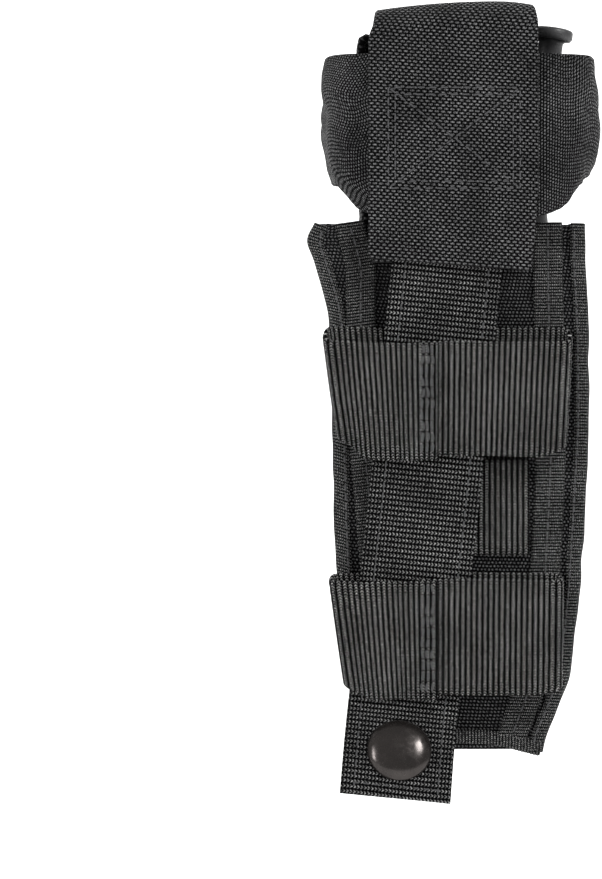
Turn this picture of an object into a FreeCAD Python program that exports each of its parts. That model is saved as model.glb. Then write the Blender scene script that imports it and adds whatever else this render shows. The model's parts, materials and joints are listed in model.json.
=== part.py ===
"""A belt-and-vest tourniquet pouch with a windlass tourniquet stowed in it, in millimetres.

Frame: X runs across the pouch and Z runs up. Y = 0 is the plane where the two bands on the
wearer's side meet the vest, and the pouch stands out from it towards +Y. Z = 0 is midway
between the two bands, and X = 0 is the middle of the pouch body.
"""
import FreeCAD, Part

import math
import os

Vector = FreeCAD.Vector
ACROSS = Vector(1, 0, 0)
OUTWARD = Vector(0, 1, 0)
UP = Vector(0, 0, 1)

# ---------------------------------------------------------------- pouch body
MOUTH_Z = 67.0            # top edge of the body
BOTTOM_Z = -54.0          # lowest edge of the body
TAPER_Z = 16.0            # the sides start to draw in below this height
CORNER_Z = -37.0          # the lower corners are cut off below this height
TOP_HALF_WIDTH = 29.4
CORNER_HALF_WIDTH = 25.6
BOTTOM_HALF_WIDTH = 19.4
FRONT_RADIUS = 6.0        # rounding between the sides and the front
WALL = 1.2                # laminate of the front and sides
PANEL = 1.4               # laminate of the back panel
FLANGE = 2.4              # seam allowance of the front panel, sewn to the back panel
FLANGE_THICK = 1.2
BINDING = 0.7             # grosgrain thickness
BINDING_WIDTH = 3.0       # how far the edge binding reaches in from the edge
MOUTH_BINDING_DEPTH = 4.0
TAPE_INSET = 5.0          # from the body's edge to the inner tape
TAPE_WIDTH = 7.0
TAPE_FOOT_GAP = 4.5       # the right tape stops this far above the lowest edge

# ---------------------------------------------------------------- bands on the wearer's side
BAND_PITCH = 54.5
BAND_HEIGHT = 26.2
BAND_THICK = 1.5
UPPER_BAND_REACH = -0.5   # past the body's edge on each side, before the shift
LOWER_BAND_REACH = 0.6
BAND_SHIFT = -2.9         # both bands sit a little to the left of the body's middle
ROW_CLEARANCE = 0.2       # between the inner tapes and what is sewn down between them
ROW_THICK = 1.5
ROW_TOP_Z = 13.4
ROW_BOTTOM_Z = -8.7

# ---------------------------------------------------------------- vertical strap and its snap
STRAP_WIDTH = 25.4
STRAP_THICK = 1.8
STRAP_GAP = 0.4           # between the strap and the outer layer of a band
STRAP_BACK_GAP = 0.7      # between the strap and the inner layer of a band
STRAP_LEAN = 5.8          # degrees, top towards +X
STRAP_MIDDLE_X = -8.65    # centre line of the strap at Z = 0
STRAP_BELOW_MOUTH = 3.0
TAIL_HINGE_GAP = 1.6      # the tail starts to bend this far below the lower band
TAIL_LENGTH = 23.5
TAIL_KICK = 27.0          # degrees that the loose tail stands away from the body
SNAP_FROM_BEND = 12.4     # along the tail, to the middle of the snap
CAP_DIAMETER = 14.6
CAP_HEIGHT = 2.6
CAP_RIM = 0.5
SOCKET_DIAMETER = 12.2
SOCKET_HEIGHT = 3.4
STUD_DIAMETER = 5.6
STUD_HEIGHT = 2.2
STUD_FLANGE_DIAMETER = 9.0
STUD_FLANGE = 1.0
STUD_Z = -45.5
STUD_CLEARANCE = 0.5      # between the stud and the left inner tape
SHANK_DIAMETER = 3.2
SHANK_CLEARANCE = 0.15
POST_DIAMETER = 7.0
POST_FLANGE = 0.6

# ---------------------------------------------------------------- flap strap
FLAP_WIDTH = 38.4
FLAP_THICK = 1.6
FLAP_MIDDLE_X = -1.7
FLAP_BACK_Y = 0.2         # outer face of the rear run
FLAP_BELOW_MOUTH = 10.0   # lower end of the rear run
FLAP_HEADROOM = 5.3       # between the tallest fold of the tourniquet and the top run
FLAP_RADIUS = 7.0         # outer radius of both bends
FLAP_END_MARGIN = 3.0     # from the patches to the lower end of the front run
FLAP_END_GAP = 0.1        # half the slit where two runs meet at a bend
ANCHOR_BELOW_MOUTH = 1.0
ANCHOR_HEIGHT = 7.5
ANCHOR_MARGIN = 1.0       # from the flap's edges to the anchor's
PATCH_WIDTH = 32.0
PATCH_BELOW_MOUTH = 8.0
PATCH_HEIGHT = 28.0
PATCH_THICK = 1.0
PATCH_GAP = 0.3           # between the hook and the loop piles
TAB_WIDTH = 25.4
TAB_THICK = 1.5
TAB_OVERLAP = 7.0         # sewn to the front run over this height
TAB_LENGTH = 23.0

# ---------------------------------------------------------------- elastic retention loop
LOOP_BELOW_FLAP = 12.7    # the loop's upper edge, below the flap's top run
LOOP_ABOVE_MOUTH = 3.0    # its lower edge where it is sewn to the flap strap
LOOP_RISE = 9.0           # its lower edge is this much higher at the sides and the front
LOOP_RISE_DEPTH = 12.0    # the lower edge rises over this depth
LOOP_HALF_WIDTH = 31.8
LOOP_BULGE = 0.6          # how far the loop stands in front of the front panel
LOOP_THICK = 1.3
LOOP_CORNER = 7.0

# ---------------------------------------------------------------- stowed tourniquet
TQ_WIDTH = 38.0           # webbing width, which runs through the pouch's depth
TQ_THICK = 2.3
TQ_FOLD_GAP = 0.3         # between neighbouring layers
TQ_LAYERS = 5
TQ_FOOT_Z = -42.0         # lowest point of the folds
TQ_TOP_Z = 111.8          # top of the first and tallest fold
TQ_TOP_STEP = 5.0         # each later fold is this much lower
TQ_FOLD_X = -19.5         # outermost face of the folds, at their foot
TQ_FOLD_LEAN = -1.5       # degrees, top towards -X
TQ_SIDE_CLEARANCE = 0.6   # between the buckle and the pouch's back and front
RUN_LEAN = 8.0            # degrees, top towards +X
RUN_ABOVE = 47.0          # front run above the windlass pivot
RUN_BELOW = 80.0
PIVOT_X = 14.7            # middle of the windlass
PIVOT_Z = 55.3
PLATE_LENGTH = 90.0
PLATE_WIDTH = 36.0
PLATE_THICK = 2.0
PLATE_GAP = 0.1
PLATE_CORNER = 5.0
SLOT_OFFSET = 9.0         # ribbon slots, either side of the pivot
ROD_LENGTH = 120.0
ROD_DIAMETER = 10.5       # in the middle
ROD_STEP = 0.75           # the waist, where the clip holds it, is this much less in radius
ROD_NECK = 5.8
ROD_HEAD = 9.8
ROD_HEAD_THICK = 2.8
ROD_NECK_LENGTH = 9.0
ROD_GAP = 0.7             # between the rod and the plate
ROD_TURN = 12.5           # degrees that the rod can turn each way between the clip walls
ROD_SLOT_LENGTH = 22.0
ROD_SLOT_HEIGHT = 2.6
RIBBON_WIDTH = 14.0
RIBBON_THICK = 1.2
RIBBON_BEND = 3.0         # where the ribbon turns over the rod
RIBBON_CLEARANCE = 0.3    # round the ribbon in its slots
CLIP_BELOW_PIVOT = 30.0
CLIP_LENGTH = 22.0
CLIP_WALL = 2.5
CLIP_BASE = 1.2
CLIP_CLEARANCE = 0.5
CLIP_LIP = 4.0
CLIP_LIP_THICK = 1.5
TIME_STRAP_WIDTH = 16.0
TIME_STRAP_THICK = 0.9
BUCKLE_WIDTH = 40.0
BUCKLE_LENGTH = 26.5
BUCKLE_THICK = 5.5
BUCKLE_BAR = 4.0
BUCKLE_CLEARANCE = 1.0    # between the turning rod's end and the buckle

# ---------------------------------------------------------------- places worked out from the above
BAND_DEPTH = 2 * BAND_THICK + STRAP_GAP + STRAP_THICK + STRAP_BACK_GAP
PANEL_Y = BAND_DEPTH + BINDING                       # outer face of the back panel
PANEL_INNER_Y = PANEL_Y + PANEL
FLANGE_INNER_Y = PANEL_INNER_Y + FLANGE_THICK
UPPER_BAND_Z = BAND_PITCH / 2
LOWER_BAND_Z = -BAND_PITCH / 2
STRAP_Y = BAND_THICK + STRAP_GAP                     # outer face of the vertical strap
TAIL_Z = LOWER_BAND_Z - BAND_HEIGHT / 2 - TAIL_HINGE_GAP
STRAP_TOP_Z = MOUTH_Z - STRAP_BELOW_MOUTH
FLAP_FOOT_Z = MOUTH_Z - FLAP_BELOW_MOUTH
FLAP_TOP_Z = TQ_TOP_Z + FLAP_HEADROOM + FLAP_THICK   # outer face of the top run
ANCHOR_TOP_Z = MOUTH_Z - ANCHOR_BELOW_MOUTH
ANCHOR_FOOT_Z = ANCHOR_TOP_Z - ANCHOR_HEIGHT
LOOP_TOP_Z = FLAP_TOP_Z - LOOP_BELOW_FLAP
LOOP_FOOT_Z = MOUTH_Z + LOOP_ABOVE_MOUTH
LOOP_SIDE_FOOT_Z = LOOP_FOOT_Z + LOOP_RISE
PATCH_TOP_Z = MOUTH_Z - PATCH_BELOW_MOUTH
PATCH_FOOT_Z = PATCH_TOP_Z - PATCH_HEIGHT
FLAP_END_Z = PATCH_FOOT_Z - FLAP_END_MARGIN          # lower end of the front run
TAB_TOP_Z = FLAP_END_Z + TAB_OVERLAP
TAB_FOOT_Z = TAB_TOP_Z - TAB_LENGTH
FLAP_LEFT = FLAP_MIDDLE_X - FLAP_WIDTH / 2
FLAP_RIGHT = FLAP_MIDDLE_X + FLAP_WIDTH / 2
FLAP_INNER_Y = FLAP_BACK_Y + FLAP_THICK
FRONT_Y = PANEL_INNER_Y + BUCKLE_WIDTH + 2 * TQ_SIDE_CLEARANCE + WALL
LOOP_PATCH_Y = FRONT_Y + PATCH_THICK
HOOK_PATCH_Y = LOOP_PATCH_Y + PATCH_GAP
FLAP_FRONT_Y = HOOK_PATCH_Y + PATCH_THICK            # inner face of the front run
FLAP_OUTER_Y = FLAP_FRONT_Y + FLAP_THICK
BEND_Z = FLAP_TOP_Z - FLAP_RADIUS
REAR_BEND_Y = FLAP_BACK_Y + FLAP_RADIUS
FRONT_BEND_Y = FLAP_OUTER_Y - FLAP_RADIUS
LOOP_FRONT_Y = FRONT_Y + LOOP_BULGE
TQ_PITCH = TQ_THICK + TQ_FOLD_GAP
TQ_MIDDLE_Y = PANEL_INNER_Y + TQ_SIDE_CLEARANCE + BUCKLE_WIDTH / 2
ROD_WAIST = ROD_DIAMETER - 2 * ROD_STEP
# The tourniquet is drawn with its width along X and the windlass axis at Y = 0.
PLATE_FACE_Y = -(ROD_GAP + ROD_DIAMETER / 2)
PLATE_Y = PLATE_FACE_Y - PLATE_THICK
RUN_FACE_Y = PLATE_Y - PLATE_GAP
RUN_Y = RUN_FACE_Y - TQ_THICK
CLIP_HALF_GAP = (
    CLIP_BELOW_PIVOT * math.sin(math.radians(ROD_TURN))
    + CLIP_LENGTH / 2 * math.sin(math.radians(ROD_TURN))
    + ROD_WAIST / 2 / math.cos(math.radians(ROD_TURN))
    + CLIP_CLEARANCE
)
CLIP_TOP_Y = ROD_WAIST / 2 + CLIP_CLEARANCE + CLIP_LIP_THICK

BIG = 400.0


# ---------------------------------------------------------------- helpers
def box(x0, x1, y0, y1, z0, z1):
    return Part.makeBox(x1 - x0, y1 - y0, z1 - z0, Vector(x0, y0, z0))


def disc(diameter, x, y0, y1, z):
    """A cylinder along Y."""
    return Part.makeCylinder(diameter / 2, y1 - y0, Vector(x, y0, z), OUTWARD)


def leaned(shape, degrees, x, z):
    """Turns a shape about the Y line through (x, z), its top towards +X."""
    turned = shape.copy()
    turned.rotate(Vector(x, 0, z), OUTWARD, degrees)
    return turned


def fused(shapes):
    """One solid from pieces that share faces."""
    whole = shapes[0]
    if len(shapes) > 1:
        whole = whole.multiFuse(shapes[1:])
    return whole.removeSplitter()


def half_width(z):
    """Half the body's width at a height."""
    corners = [
        (MOUTH_Z, TOP_HALF_WIDTH),
        (TAPER_Z, TOP_HALF_WIDTH),
        (CORNER_Z, CORNER_HALF_WIDTH),
        (BOTTOM_Z, BOTTOM_HALF_WIDTH),
    ]
    for (high, wide), (low, narrow) in zip(corners, corners[1:]):
        if z >= low:
            break
    return narrow + (wide - narrow) * (z - low) / (high - low)


def body_prism(inset, y0, y1, radius=0.0, top=MOUTH_Z):
    """The body's outline, drawn in by inset on its sides and foot, from y0 to y1.

    With a radius, the edges of the face at y1 are rounded, except at the mouth.
    """
    over = MOUTH_Z + BIG
    right = [(half_width(z), z) for z in (MOUTH_Z, TAPER_Z, CORNER_Z, BOTTOM_Z)]
    right[0] = (TOP_HALF_WIDTH, over)
    left = [(-x, z) for x, z in reversed(right)]
    points = [Vector(x, y0, z) for x, z in right + left]
    wire = Part.makePolygon(points + points[:1])
    if inset:
        wire = wire.makeOffset2D(-inset, 2)
    solid = Part.Face(wire).extrude(Vector(0, y1 - y0, 0))
    if radius:
        rims = [
            edge
            for edge in solid.Edges
            if all(abs(v.Y - y1) < 1e-6 for v in edge.Vertexes)
            and not all(v.Z > MOUTH_Z for v in edge.Vertexes)
        ]
        solid = solid.makeFillet(radius, rims)
    return solid.common(box(-BIG, BIG, -BIG, BIG, -BIG, top))


def side_strip(side, inset, width, y0, y1, foot):
    """A tape that follows one side of the body, from the mouth down to foot."""
    heights = [z for z in (MOUTH_Z, TAPER_Z, CORNER_Z) if z > foot] + [foot]
    outer = [(side * (half_width(z) - inset), z) for z in heights]
    inner = [(side * (half_width(z) - inset - width), z) for z in reversed(heights)]
    points = [Vector(x, y0, z) for x, z in outer + inner]
    face = Part.Face(Part.makePolygon(points + points[:1]))
    return face.extrude(Vector(0, y1 - y0, 0))


def rounded_rectangle(x0, x1, y0, y1, z, radius):
    """A closed wire in the plane at height z, with round corners."""
    edges = []
    corners = [
        (x1 - radius, y1 - radius, 0),
        (x0 + radius, y1 - radius, 90),
        (x0 + radius, y0 + radius, 180),
        (x1 - radius, y0 + radius, 270),
    ]
    ends = []
    for x, y, start in corners:
        centre = Vector(x, y, z)
        spots = []
        for turn in (0, 45, 90):
            angle = math.radians(start + turn)
            spots.append(centre + Vector(math.cos(angle), math.sin(angle), 0) * radius)
        ends.append(spots)
    for here, after in zip(ends, ends[1:] + ends[:1]):
        edges.append(Part.Arc(*here).toShape())
        edges.append(Part.LineSegment(here[2], after[0]).toShape())
    return Part.Wire(edges)


def bend(y, z, radius, thick, x0, x1, start, sweep):
    """Webbing bent round an X line at (y, z): outer radius, from start through sweep degrees.

    Angles are measured in the YZ plane from +Y towards +Z.
    """
    base = Vector(x0, y, z)
    outer = Part.makeCylinder(radius, x1 - x0, base, ACROSS, sweep)
    inner = Part.makeCylinder(radius - thick, x1 - x0, base, ACROSS, sweep)
    shape = outer.cut(inner)
    # A cylinder about +X starts on its own local axis, so its start is turned to +Y first.
    probe = Part.makeCylinder(radius, x1 - x0, base, ACROSS, 1.0).CenterOfMass - base
    found = math.degrees(math.atan2(probe.z, probe.y)) - 0.5
    shape.rotate(base, ACROSS, start - found)
    return shape


# ---------------------------------------------------------------- pouch body
def back_panel():
    panel = body_prism(BINDING, PANEL_Y, PANEL_INNER_Y)
    x, z = stud_place()
    return panel.cut(disc(SHANK_DIAMETER + 2 * SHANK_CLEARANCE, x, PANEL_Y, PANEL_INNER_Y, z))


def front_shell():
    """Front, sides, foot and sewing flange before they are cut into two panels."""
    outer = body_prism(FLANGE, PANEL_INNER_Y, FRONT_Y, FRONT_RADIUS)
    inner = body_prism(
        FLANGE + WALL, PANEL_INNER_Y, FRONT_Y - WALL, FRONT_RADIUS - WALL, MOUTH_Z + BIG
    )
    flange = body_prism(BINDING, PANEL_INNER_Y, FLANGE_INNER_Y)
    flange = flange.cut(body_prism(FLANGE, PANEL_INNER_Y, FLANGE_INNER_Y, 0, MOUTH_Z + BIG))
    return outer.cut(inner).fuse(flange)


def front_panels():
    """The front with both sides, and the foot."""
    shell = front_shell()
    cut_z = BOTTOM_Z + FLANGE + FRONT_RADIUS
    below = box(-BIG, BIG, -BIG, BIG, -BIG, cut_z)
    above = box(-BIG, BIG, -BIG, BIG, cut_z, BIG)
    return shell.common(above).removeSplitter(), shell.common(below).removeSplitter()


def mouth_binding():
    """Grosgrain folded over the front panel's top edge."""
    foot = MOUTH_Z - MOUTH_BINDING_DEPTH
    top = MOUTH_Z + BINDING
    outer = body_prism(
        FLANGE - BINDING, FLANGE_INNER_Y, FRONT_Y + BINDING, FRONT_RADIUS + BINDING, top
    )
    inset = FLANGE + WALL + BINDING
    radius = FRONT_RADIUS - WALL - BINDING
    inner = body_prism(
        inset, FLANGE_INNER_Y, FRONT_Y - WALL - BINDING, radius, MOUTH_Z + BIG
    )
    wall = body_prism(FLANGE, PANEL_INNER_Y, FRONT_Y, FRONT_RADIUS)
    wall = wall.cut(
        body_prism(
            FLANGE + WALL, PANEL_INNER_Y, FRONT_Y - WALL, FRONT_RADIUS - WALL, MOUTH_Z + BIG
        )
    )
    clear_of_edge = BINDING + FLANGE_INNER_Y
    strip = outer.cut(inner).cut(wall)
    return strip.common(box(-BIG, BIG, clear_of_edge, BIG, foot, top))


def edge_bindings():
    """Grosgrain folded round the seam: left side, foot and right side."""
    y0 = PANEL_Y - BINDING
    y1 = FLANGE_INNER_Y + BINDING
    rim = body_prism(0, y0, y1)
    rim = rim.cut(body_prism(BINDING, PANEL_Y, FLANGE_INNER_Y, 0, MOUTH_Z + BIG))
    rim = rim.cut(body_prism(BINDING_WIDTH, y0, PANEL_Y, 0, MOUTH_Z + BIG))
    rim = rim.cut(body_prism(FLANGE, FLANGE_INNER_Y, y1, 0, MOUTH_Z + BIG))
    foot = BOTTOM_Z + BINDING_WIDTH
    left = rim.common(box(-BIG, 0, -BIG, BIG, foot, BIG))
    right = rim.common(box(0, BIG, -BIG, BIG, foot, BIG))
    bottom = rim.common(box(-BIG, BIG, -BIG, BIG, -BIG, foot))
    return left, bottom, right


def inner_tapes():
    """Tapes that cover the seams of the row. The left one stops above the snap stud."""
    y0 = PANEL_Y - BINDING
    above_stud = STUD_Z + STUD_FLANGE_DIAMETER / 2 + STUD_CLEARANCE
    left = side_strip(-1, TAPE_INSET, TAPE_WIDTH, y0, PANEL_Y, above_stud)
    right = side_strip(1, TAPE_INSET, TAPE_WIDTH, y0, PANEL_Y, BOTTOM_Z + TAPE_FOOT_GAP)
    return left, right


# ---------------------------------------------------------------- bands, row and strap
def band(reach, z):
    """A flattened loop of webbing, open above and below, as wide as the body at its middle."""
    half = half_width(z) + reach
    x0 = BAND_SHIFT - half
    x1 = BAND_SHIFT + half
    foot = z - BAND_HEIGHT / 2
    outer = rounded_rectangle(x0, x1, 0, BAND_DEPTH, foot, BAND_DEPTH / 2 - 0.01)
    inner = rounded_rectangle(
        x0 + BAND_THICK,
        x1 - BAND_THICK,
        BAND_THICK,
        BAND_DEPTH - BAND_THICK,
        foot,
        BAND_DEPTH / 2 - BAND_THICK - 0.01,
    )
    rise = Vector(0, 0, BAND_HEIGHT)
    return Part.Face(outer).extrude(rise).cut(Part.Face(inner).extrude(rise))


def middle_row():
    """A flat row sewn to the back panel, between the inner tapes."""
    half = half_width(ROW_BOTTOM_Z) - TAPE_INSET - TAPE_WIDTH - ROW_CLEARANCE
    return box(-half, half, PANEL_Y - ROW_THICK, PANEL_Y, ROW_BOTTOM_Z, ROW_TOP_Z)


def strap_placed(shape):
    """From the upright strap's place to its lean."""
    return leaned(shape, STRAP_LEAN, STRAP_MIDDLE_X, 0)


def molle_strap():
    x0 = STRAP_MIDDLE_X - STRAP_WIDTH / 2
    shape = box(x0, x0 + STRAP_WIDTH, STRAP_Y, STRAP_Y + STRAP_THICK, TAIL_Z, STRAP_TOP_Z)
    return strap_placed(shape)


def tail_placed(shape):
    """From the upright tail's place to its kick away from the body, and its lean."""
    kicked = shape.copy()
    kicked.rotate(Vector(STRAP_MIDDLE_X, STRAP_Y, TAIL_Z), ACROSS, -TAIL_KICK)
    return strap_placed(kicked)


def strap_tail():
    x0 = STRAP_MIDDLE_X - STRAP_WIDTH / 2
    y1 = STRAP_Y + STRAP_THICK
    tail = box(x0, x0 + STRAP_WIDTH, STRAP_Y, y1, TAIL_Z - TAIL_LENGTH, TAIL_Z)
    hole = SHANK_DIAMETER + 2 * SHANK_CLEARANCE
    tail = tail.cut(disc(hole, STRAP_MIDDLE_X, STRAP_Y, y1, TAIL_Z - SNAP_FROM_BEND))
    return tail_placed(tail)


def snap_cap():
    """A domed cap on the outside of the tail, with its shank through the strap."""
    z = TAIL_Z - SNAP_FROM_BEND
    foot = Vector(STRAP_MIDDLE_X, STRAP_Y, z)
    across = ACROSS * (CAP_DIAMETER / 2)
    rise = CAP_HEIGHT - CAP_RIM
    sphere_radius = ((CAP_DIAMETER / 2) ** 2 + rise**2) / (2 * rise)
    half_way = CAP_DIAMETER / 4
    sag = sphere_radius - math.sqrt(sphere_radius**2 - half_way**2)
    crown = foot - OUTWARD * CAP_HEIGHT
    rim = foot + across - OUTWARD * CAP_RIM
    shoulder = crown + ACROSS * half_way + OUTWARD * sag
    outline = [
        Part.Arc(crown, shoulder, rim).toShape(),
        Part.LineSegment(rim, foot + across).toShape(),
        Part.LineSegment(foot + across, foot).toShape(),
        Part.LineSegment(foot, crown).toShape(),
    ]
    dome = Part.Face(Part.Wire(outline)).revolve(foot, OUTWARD, 360)
    shank_end = STRAP_Y + STRAP_THICK
    shank = disc(SHANK_DIAMETER, STRAP_MIDDLE_X, STRAP_Y, shank_end, z)
    return tail_placed(fused([dome, shank]))


def snap_socket():
    """The spring socket on the inside of the tail, open towards the stud."""
    z = TAIL_Z - SNAP_FROM_BEND
    y0 = STRAP_Y + STRAP_THICK
    y1 = y0 + SOCKET_HEIGHT
    body = disc(SOCKET_DIAMETER, STRAP_MIDDLE_X, y0, y1, z)
    bore = disc(STUD_DIAMETER + 0.4, STRAP_MIDDLE_X, y0 + 1.0, y1, z)
    recess = disc(SOCKET_DIAMETER - 2.4, STRAP_MIDDLE_X, y1 - 0.8, y1, z)
    return tail_placed(body.cut(bore).cut(recess))


def stud_place():
    """Where the strap's centre line passes over the stud."""
    x = STRAP_MIDDLE_X + STUD_Z * math.tan(math.radians(STRAP_LEAN))
    return x, STUD_Z


def snap_stud():
    x, z = stud_place()
    flange = disc(STUD_FLANGE_DIAMETER, x, PANEL_Y - STUD_FLANGE, PANEL_Y, z)
    y0 = PANEL_Y - STUD_FLANGE - STUD_HEIGHT
    knob = disc(STUD_DIAMETER, x, y0, PANEL_Y - STUD_FLANGE, z)
    knob = knob.makeFillet(0.7, [e for e in knob.Edges if e.BoundBox.YMax < y0 + 1e-6])
    return fused([flange, knob])


def snap_post():
    """The rivet that holds the stud, with its head inside the pouch."""
    x, z = stud_place()
    head = disc(POST_DIAMETER, x, PANEL_INNER_Y, PANEL_INNER_Y + POST_FLANGE, z)
    shank = disc(SHANK_DIAMETER, x, PANEL_Y, PANEL_INNER_Y, z)
    return fused([head, shank])


# ---------------------------------------------------------------- flap strap and closure
def flap_rear():
    """The rear run, up to the middle of the rear bend."""
    straight = box(FLAP_LEFT, FLAP_RIGHT, FLAP_BACK_Y, FLAP_INNER_Y, FLAP_FOOT_Z, BEND_Z)
    sweep = 45 - slit_angle()
    curve = bend(
        REAR_BEND_Y, BEND_Z, FLAP_RADIUS, FLAP_THICK, FLAP_LEFT, FLAP_RIGHT, 180 - sweep, sweep
    )
    return fused([straight, curve])


def slit_angle():
    """Half the slit between two runs, as an angle round a bend."""
    return math.degrees(FLAP_END_GAP / FLAP_RADIUS)


def flap_top():
    z0 = FLAP_TOP_Z - FLAP_THICK
    straight = box(FLAP_LEFT, FLAP_RIGHT, REAR_BEND_Y, FRONT_BEND_Y, z0, FLAP_TOP_Z)
    sweep = 45 - slit_angle()
    rear = bend(REAR_BEND_Y, BEND_Z, FLAP_RADIUS, FLAP_THICK, FLAP_LEFT, FLAP_RIGHT, 90, sweep)
    front = bend(
        FRONT_BEND_Y, BEND_Z, FLAP_RADIUS, FLAP_THICK, FLAP_LEFT, FLAP_RIGHT, 90 - sweep, sweep
    )
    return fused([straight, rear, front])


def flap_front():
    straight = box(FLAP_LEFT, FLAP_RIGHT, FLAP_FRONT_Y, FLAP_OUTER_Y, FLAP_END_Z, BEND_Z)
    sweep = 45 - slit_angle()
    curve = bend(FRONT_BEND_Y, BEND_Z, FLAP_RADIUS, FLAP_THICK, FLAP_LEFT, FLAP_RIGHT, 0, sweep)
    return fused([straight, curve])


def flap_anchor():
    """Webbing sewn between the vertical strap and the back panel, stepped over a tape."""
    y0 = STRAP_Y + STRAP_THICK
    x0, x1 = FLAP_LEFT + ANCHOR_MARGIN, FLAP_RIGHT - ANCHOR_MARGIN
    between = half_width(ANCHOR_FOOT_Z) - TAPE_INSET - TAPE_WIDTH - ROW_CLEARANCE
    face = box(x0, x1, y0, PANEL_Y - BINDING, ANCHOR_FOOT_Z, ANCHOR_TOP_Z)
    seat = box(
        max(x0, -between), min(x1, between), y0, PANEL_Y, ANCHOR_FOOT_Z, ANCHOR_TOP_Z
    )
    return face.fuse(seat).removeSplitter()


def patch(y0):
    x0 = FLAP_MIDDLE_X - PATCH_WIDTH / 2
    return box(x0, x0 + PATCH_WIDTH, y0, y0 + PATCH_THICK, PATCH_FOOT_Z, PATCH_TOP_Z)


def flap_pull_tab():
    x0 = FLAP_MIDDLE_X - TAB_WIDTH / 2
    y1 = FLAP_OUTER_Y + TAB_THICK
    return box(x0, x0 + TAB_WIDTH, FLAP_OUTER_Y, y1, TAB_FOOT_Z, TAB_TOP_Z)


def retention_loop():
    """An elastic ring that hugs the tourniquet above the mouth, its foot higher at the sides."""
    half = LOOP_HALF_WIDTH
    outer = rounded_rectangle(-half, half, FLAP_INNER_Y, LOOP_FRONT_Y, LOOP_FOOT_Z, LOOP_CORNER)
    inner = rounded_rectangle(
        LOOP_THICK - half,
        half - LOOP_THICK,
        FLAP_INNER_Y + LOOP_THICK,
        LOOP_FRONT_Y - LOOP_THICK,
        LOOP_FOOT_Z,
        LOOP_CORNER - LOOP_THICK,
    )
    rise = Vector(0, 0, LOOP_TOP_Z - LOOP_FOOT_Z)
    ring = Part.Face(outer).extrude(rise).cut(Part.Face(inner).extrude(rise))
    start = FLAP_INNER_Y + LOOP_THICK
    profile = [
        (start, LOOP_FOOT_Z),
        (start + LOOP_RISE_DEPTH, LOOP_SIDE_FOOT_Z),
        (BIG, LOOP_SIDE_FOOT_Z),
        (BIG, LOOP_FOOT_Z),
    ]
    points = [Vector(-BIG, y, z) for y, z in profile]
    below = Part.Face(Part.makePolygon(points + points[:1])).extrude(ACROSS * 2 * BIG)
    return ring.cut(below)


# ---------------------------------------------------------------- stowed tourniquet
def stowed(shape, x):
    """A quarter turn from the drawn place: its width into the pouch, its Y = 0 plane at x."""
    turned = shape.copy()
    turned.rotate(Vector(0, 0, 0), UP, -90)
    turned.translate(Vector(x, TQ_MIDDLE_Y, 0))
    return turned


def tq_band_folds():
    """The spare webbing, folded to and fro."""
    x0 = -TQ_WIDTH / 2
    x1 = x0 + TQ_WIDTH
    outer = TQ_PITCH / 2 + TQ_THICK / 2
    foot = TQ_FOOT_Z + outer
    pieces = []
    for layer in range(TQ_LAYERS):
        y0 = layer * TQ_PITCH
        top = TQ_TOP_Z - outer - (layer // 2) * TQ_TOP_STEP
        pieces.append(box(x0, x1, y0, y0 + TQ_THICK, foot, top))
        if layer < TQ_LAYERS - 1:
            middle = y0 + TQ_THICK / 2 + TQ_PITCH / 2
            upper = layer % 2 == 0
            z = top if upper else foot
            start = 0 if upper else 180
            pieces.append(bend(middle, z, outer, TQ_THICK, x0, x1, start, 180))
    return leaned(stowed(fused(pieces), TQ_FOLD_X), TQ_FOLD_LEAN, TQ_FOLD_X, TQ_FOOT_Z)


def run_placed(shape):
    """From the drawn place to the stowed one, leaned about the windlass pivot."""
    return leaned(stowed(shape, PIVOT_X), RUN_LEAN, PIVOT_X, PIVOT_Z)


def tq_front_run():
    """The webbing that carries the plate, the clip and the buckle."""
    half = TQ_WIDTH / 2
    return run_placed(
        box(-half, half, RUN_Y, RUN_FACE_Y, PIVOT_Z - RUN_BELOW, PIVOT_Z + RUN_ABOVE)
    )


def tq_base_plate():
    half = PLATE_WIDTH / 2
    z0 = PIVOT_Z - PLATE_LENGTH / 2
    plate = box(-half, half, PLATE_Y, PLATE_FACE_Y, z0, z0 + PLATE_LENGTH)
    corners = [e for e in plate.Edges if abs(e.tangentAt(0).y) > 0.99]
    plate = plate.makeFillet(PLATE_CORNER, corners)
    for side in (-1, 1):
        x = side * SLOT_OFFSET
        wide = RIBBON_THICK / 2 + RIBBON_CLEARANCE
        reach = RIBBON_WIDTH / 2 + RIBBON_CLEARANCE
        slot = box(x - wide, x + wide, PLATE_Y, PLATE_FACE_Y, PIVOT_Z - reach, PIVOT_Z + reach)
        plate = plate.cut(slot)
    return run_placed(plate)


def tq_ribbon():
    """The inner ribbon, up through the plate, across the rod's slot and down again."""
    half = SLOT_OFFSET + RIBBON_THICK / 2
    z0 = PIVOT_Z - RIBBON_WIDTH / 2
    z1 = z0 + RIBBON_WIDTH
    y_top = RIBBON_THICK / 2
    arch = box(-half, half, PLATE_Y, y_top, z0, z1)
    arch = arch.makeFillet(RIBBON_BEND, upper_sides(arch, y_top))
    reach = half - RIBBON_THICK
    y_under = y_top - RIBBON_THICK
    under = box(-reach, reach, PLATE_Y, y_under, z0, z1)
    under = under.makeFillet(RIBBON_BEND - RIBBON_THICK, upper_sides(under, y_under))
    return run_placed(arch.cut(under))


def upper_sides(block, y):
    """The two edges along Z of a block's face at y."""
    edges = [e.BoundBox for e in block.Edges]
    along = [b.YMin > y - 1e-6 and b.XLength < 1e-6 for b in edges]
    return [edge for edge, chosen in zip(block.Edges, along) if chosen]


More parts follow.
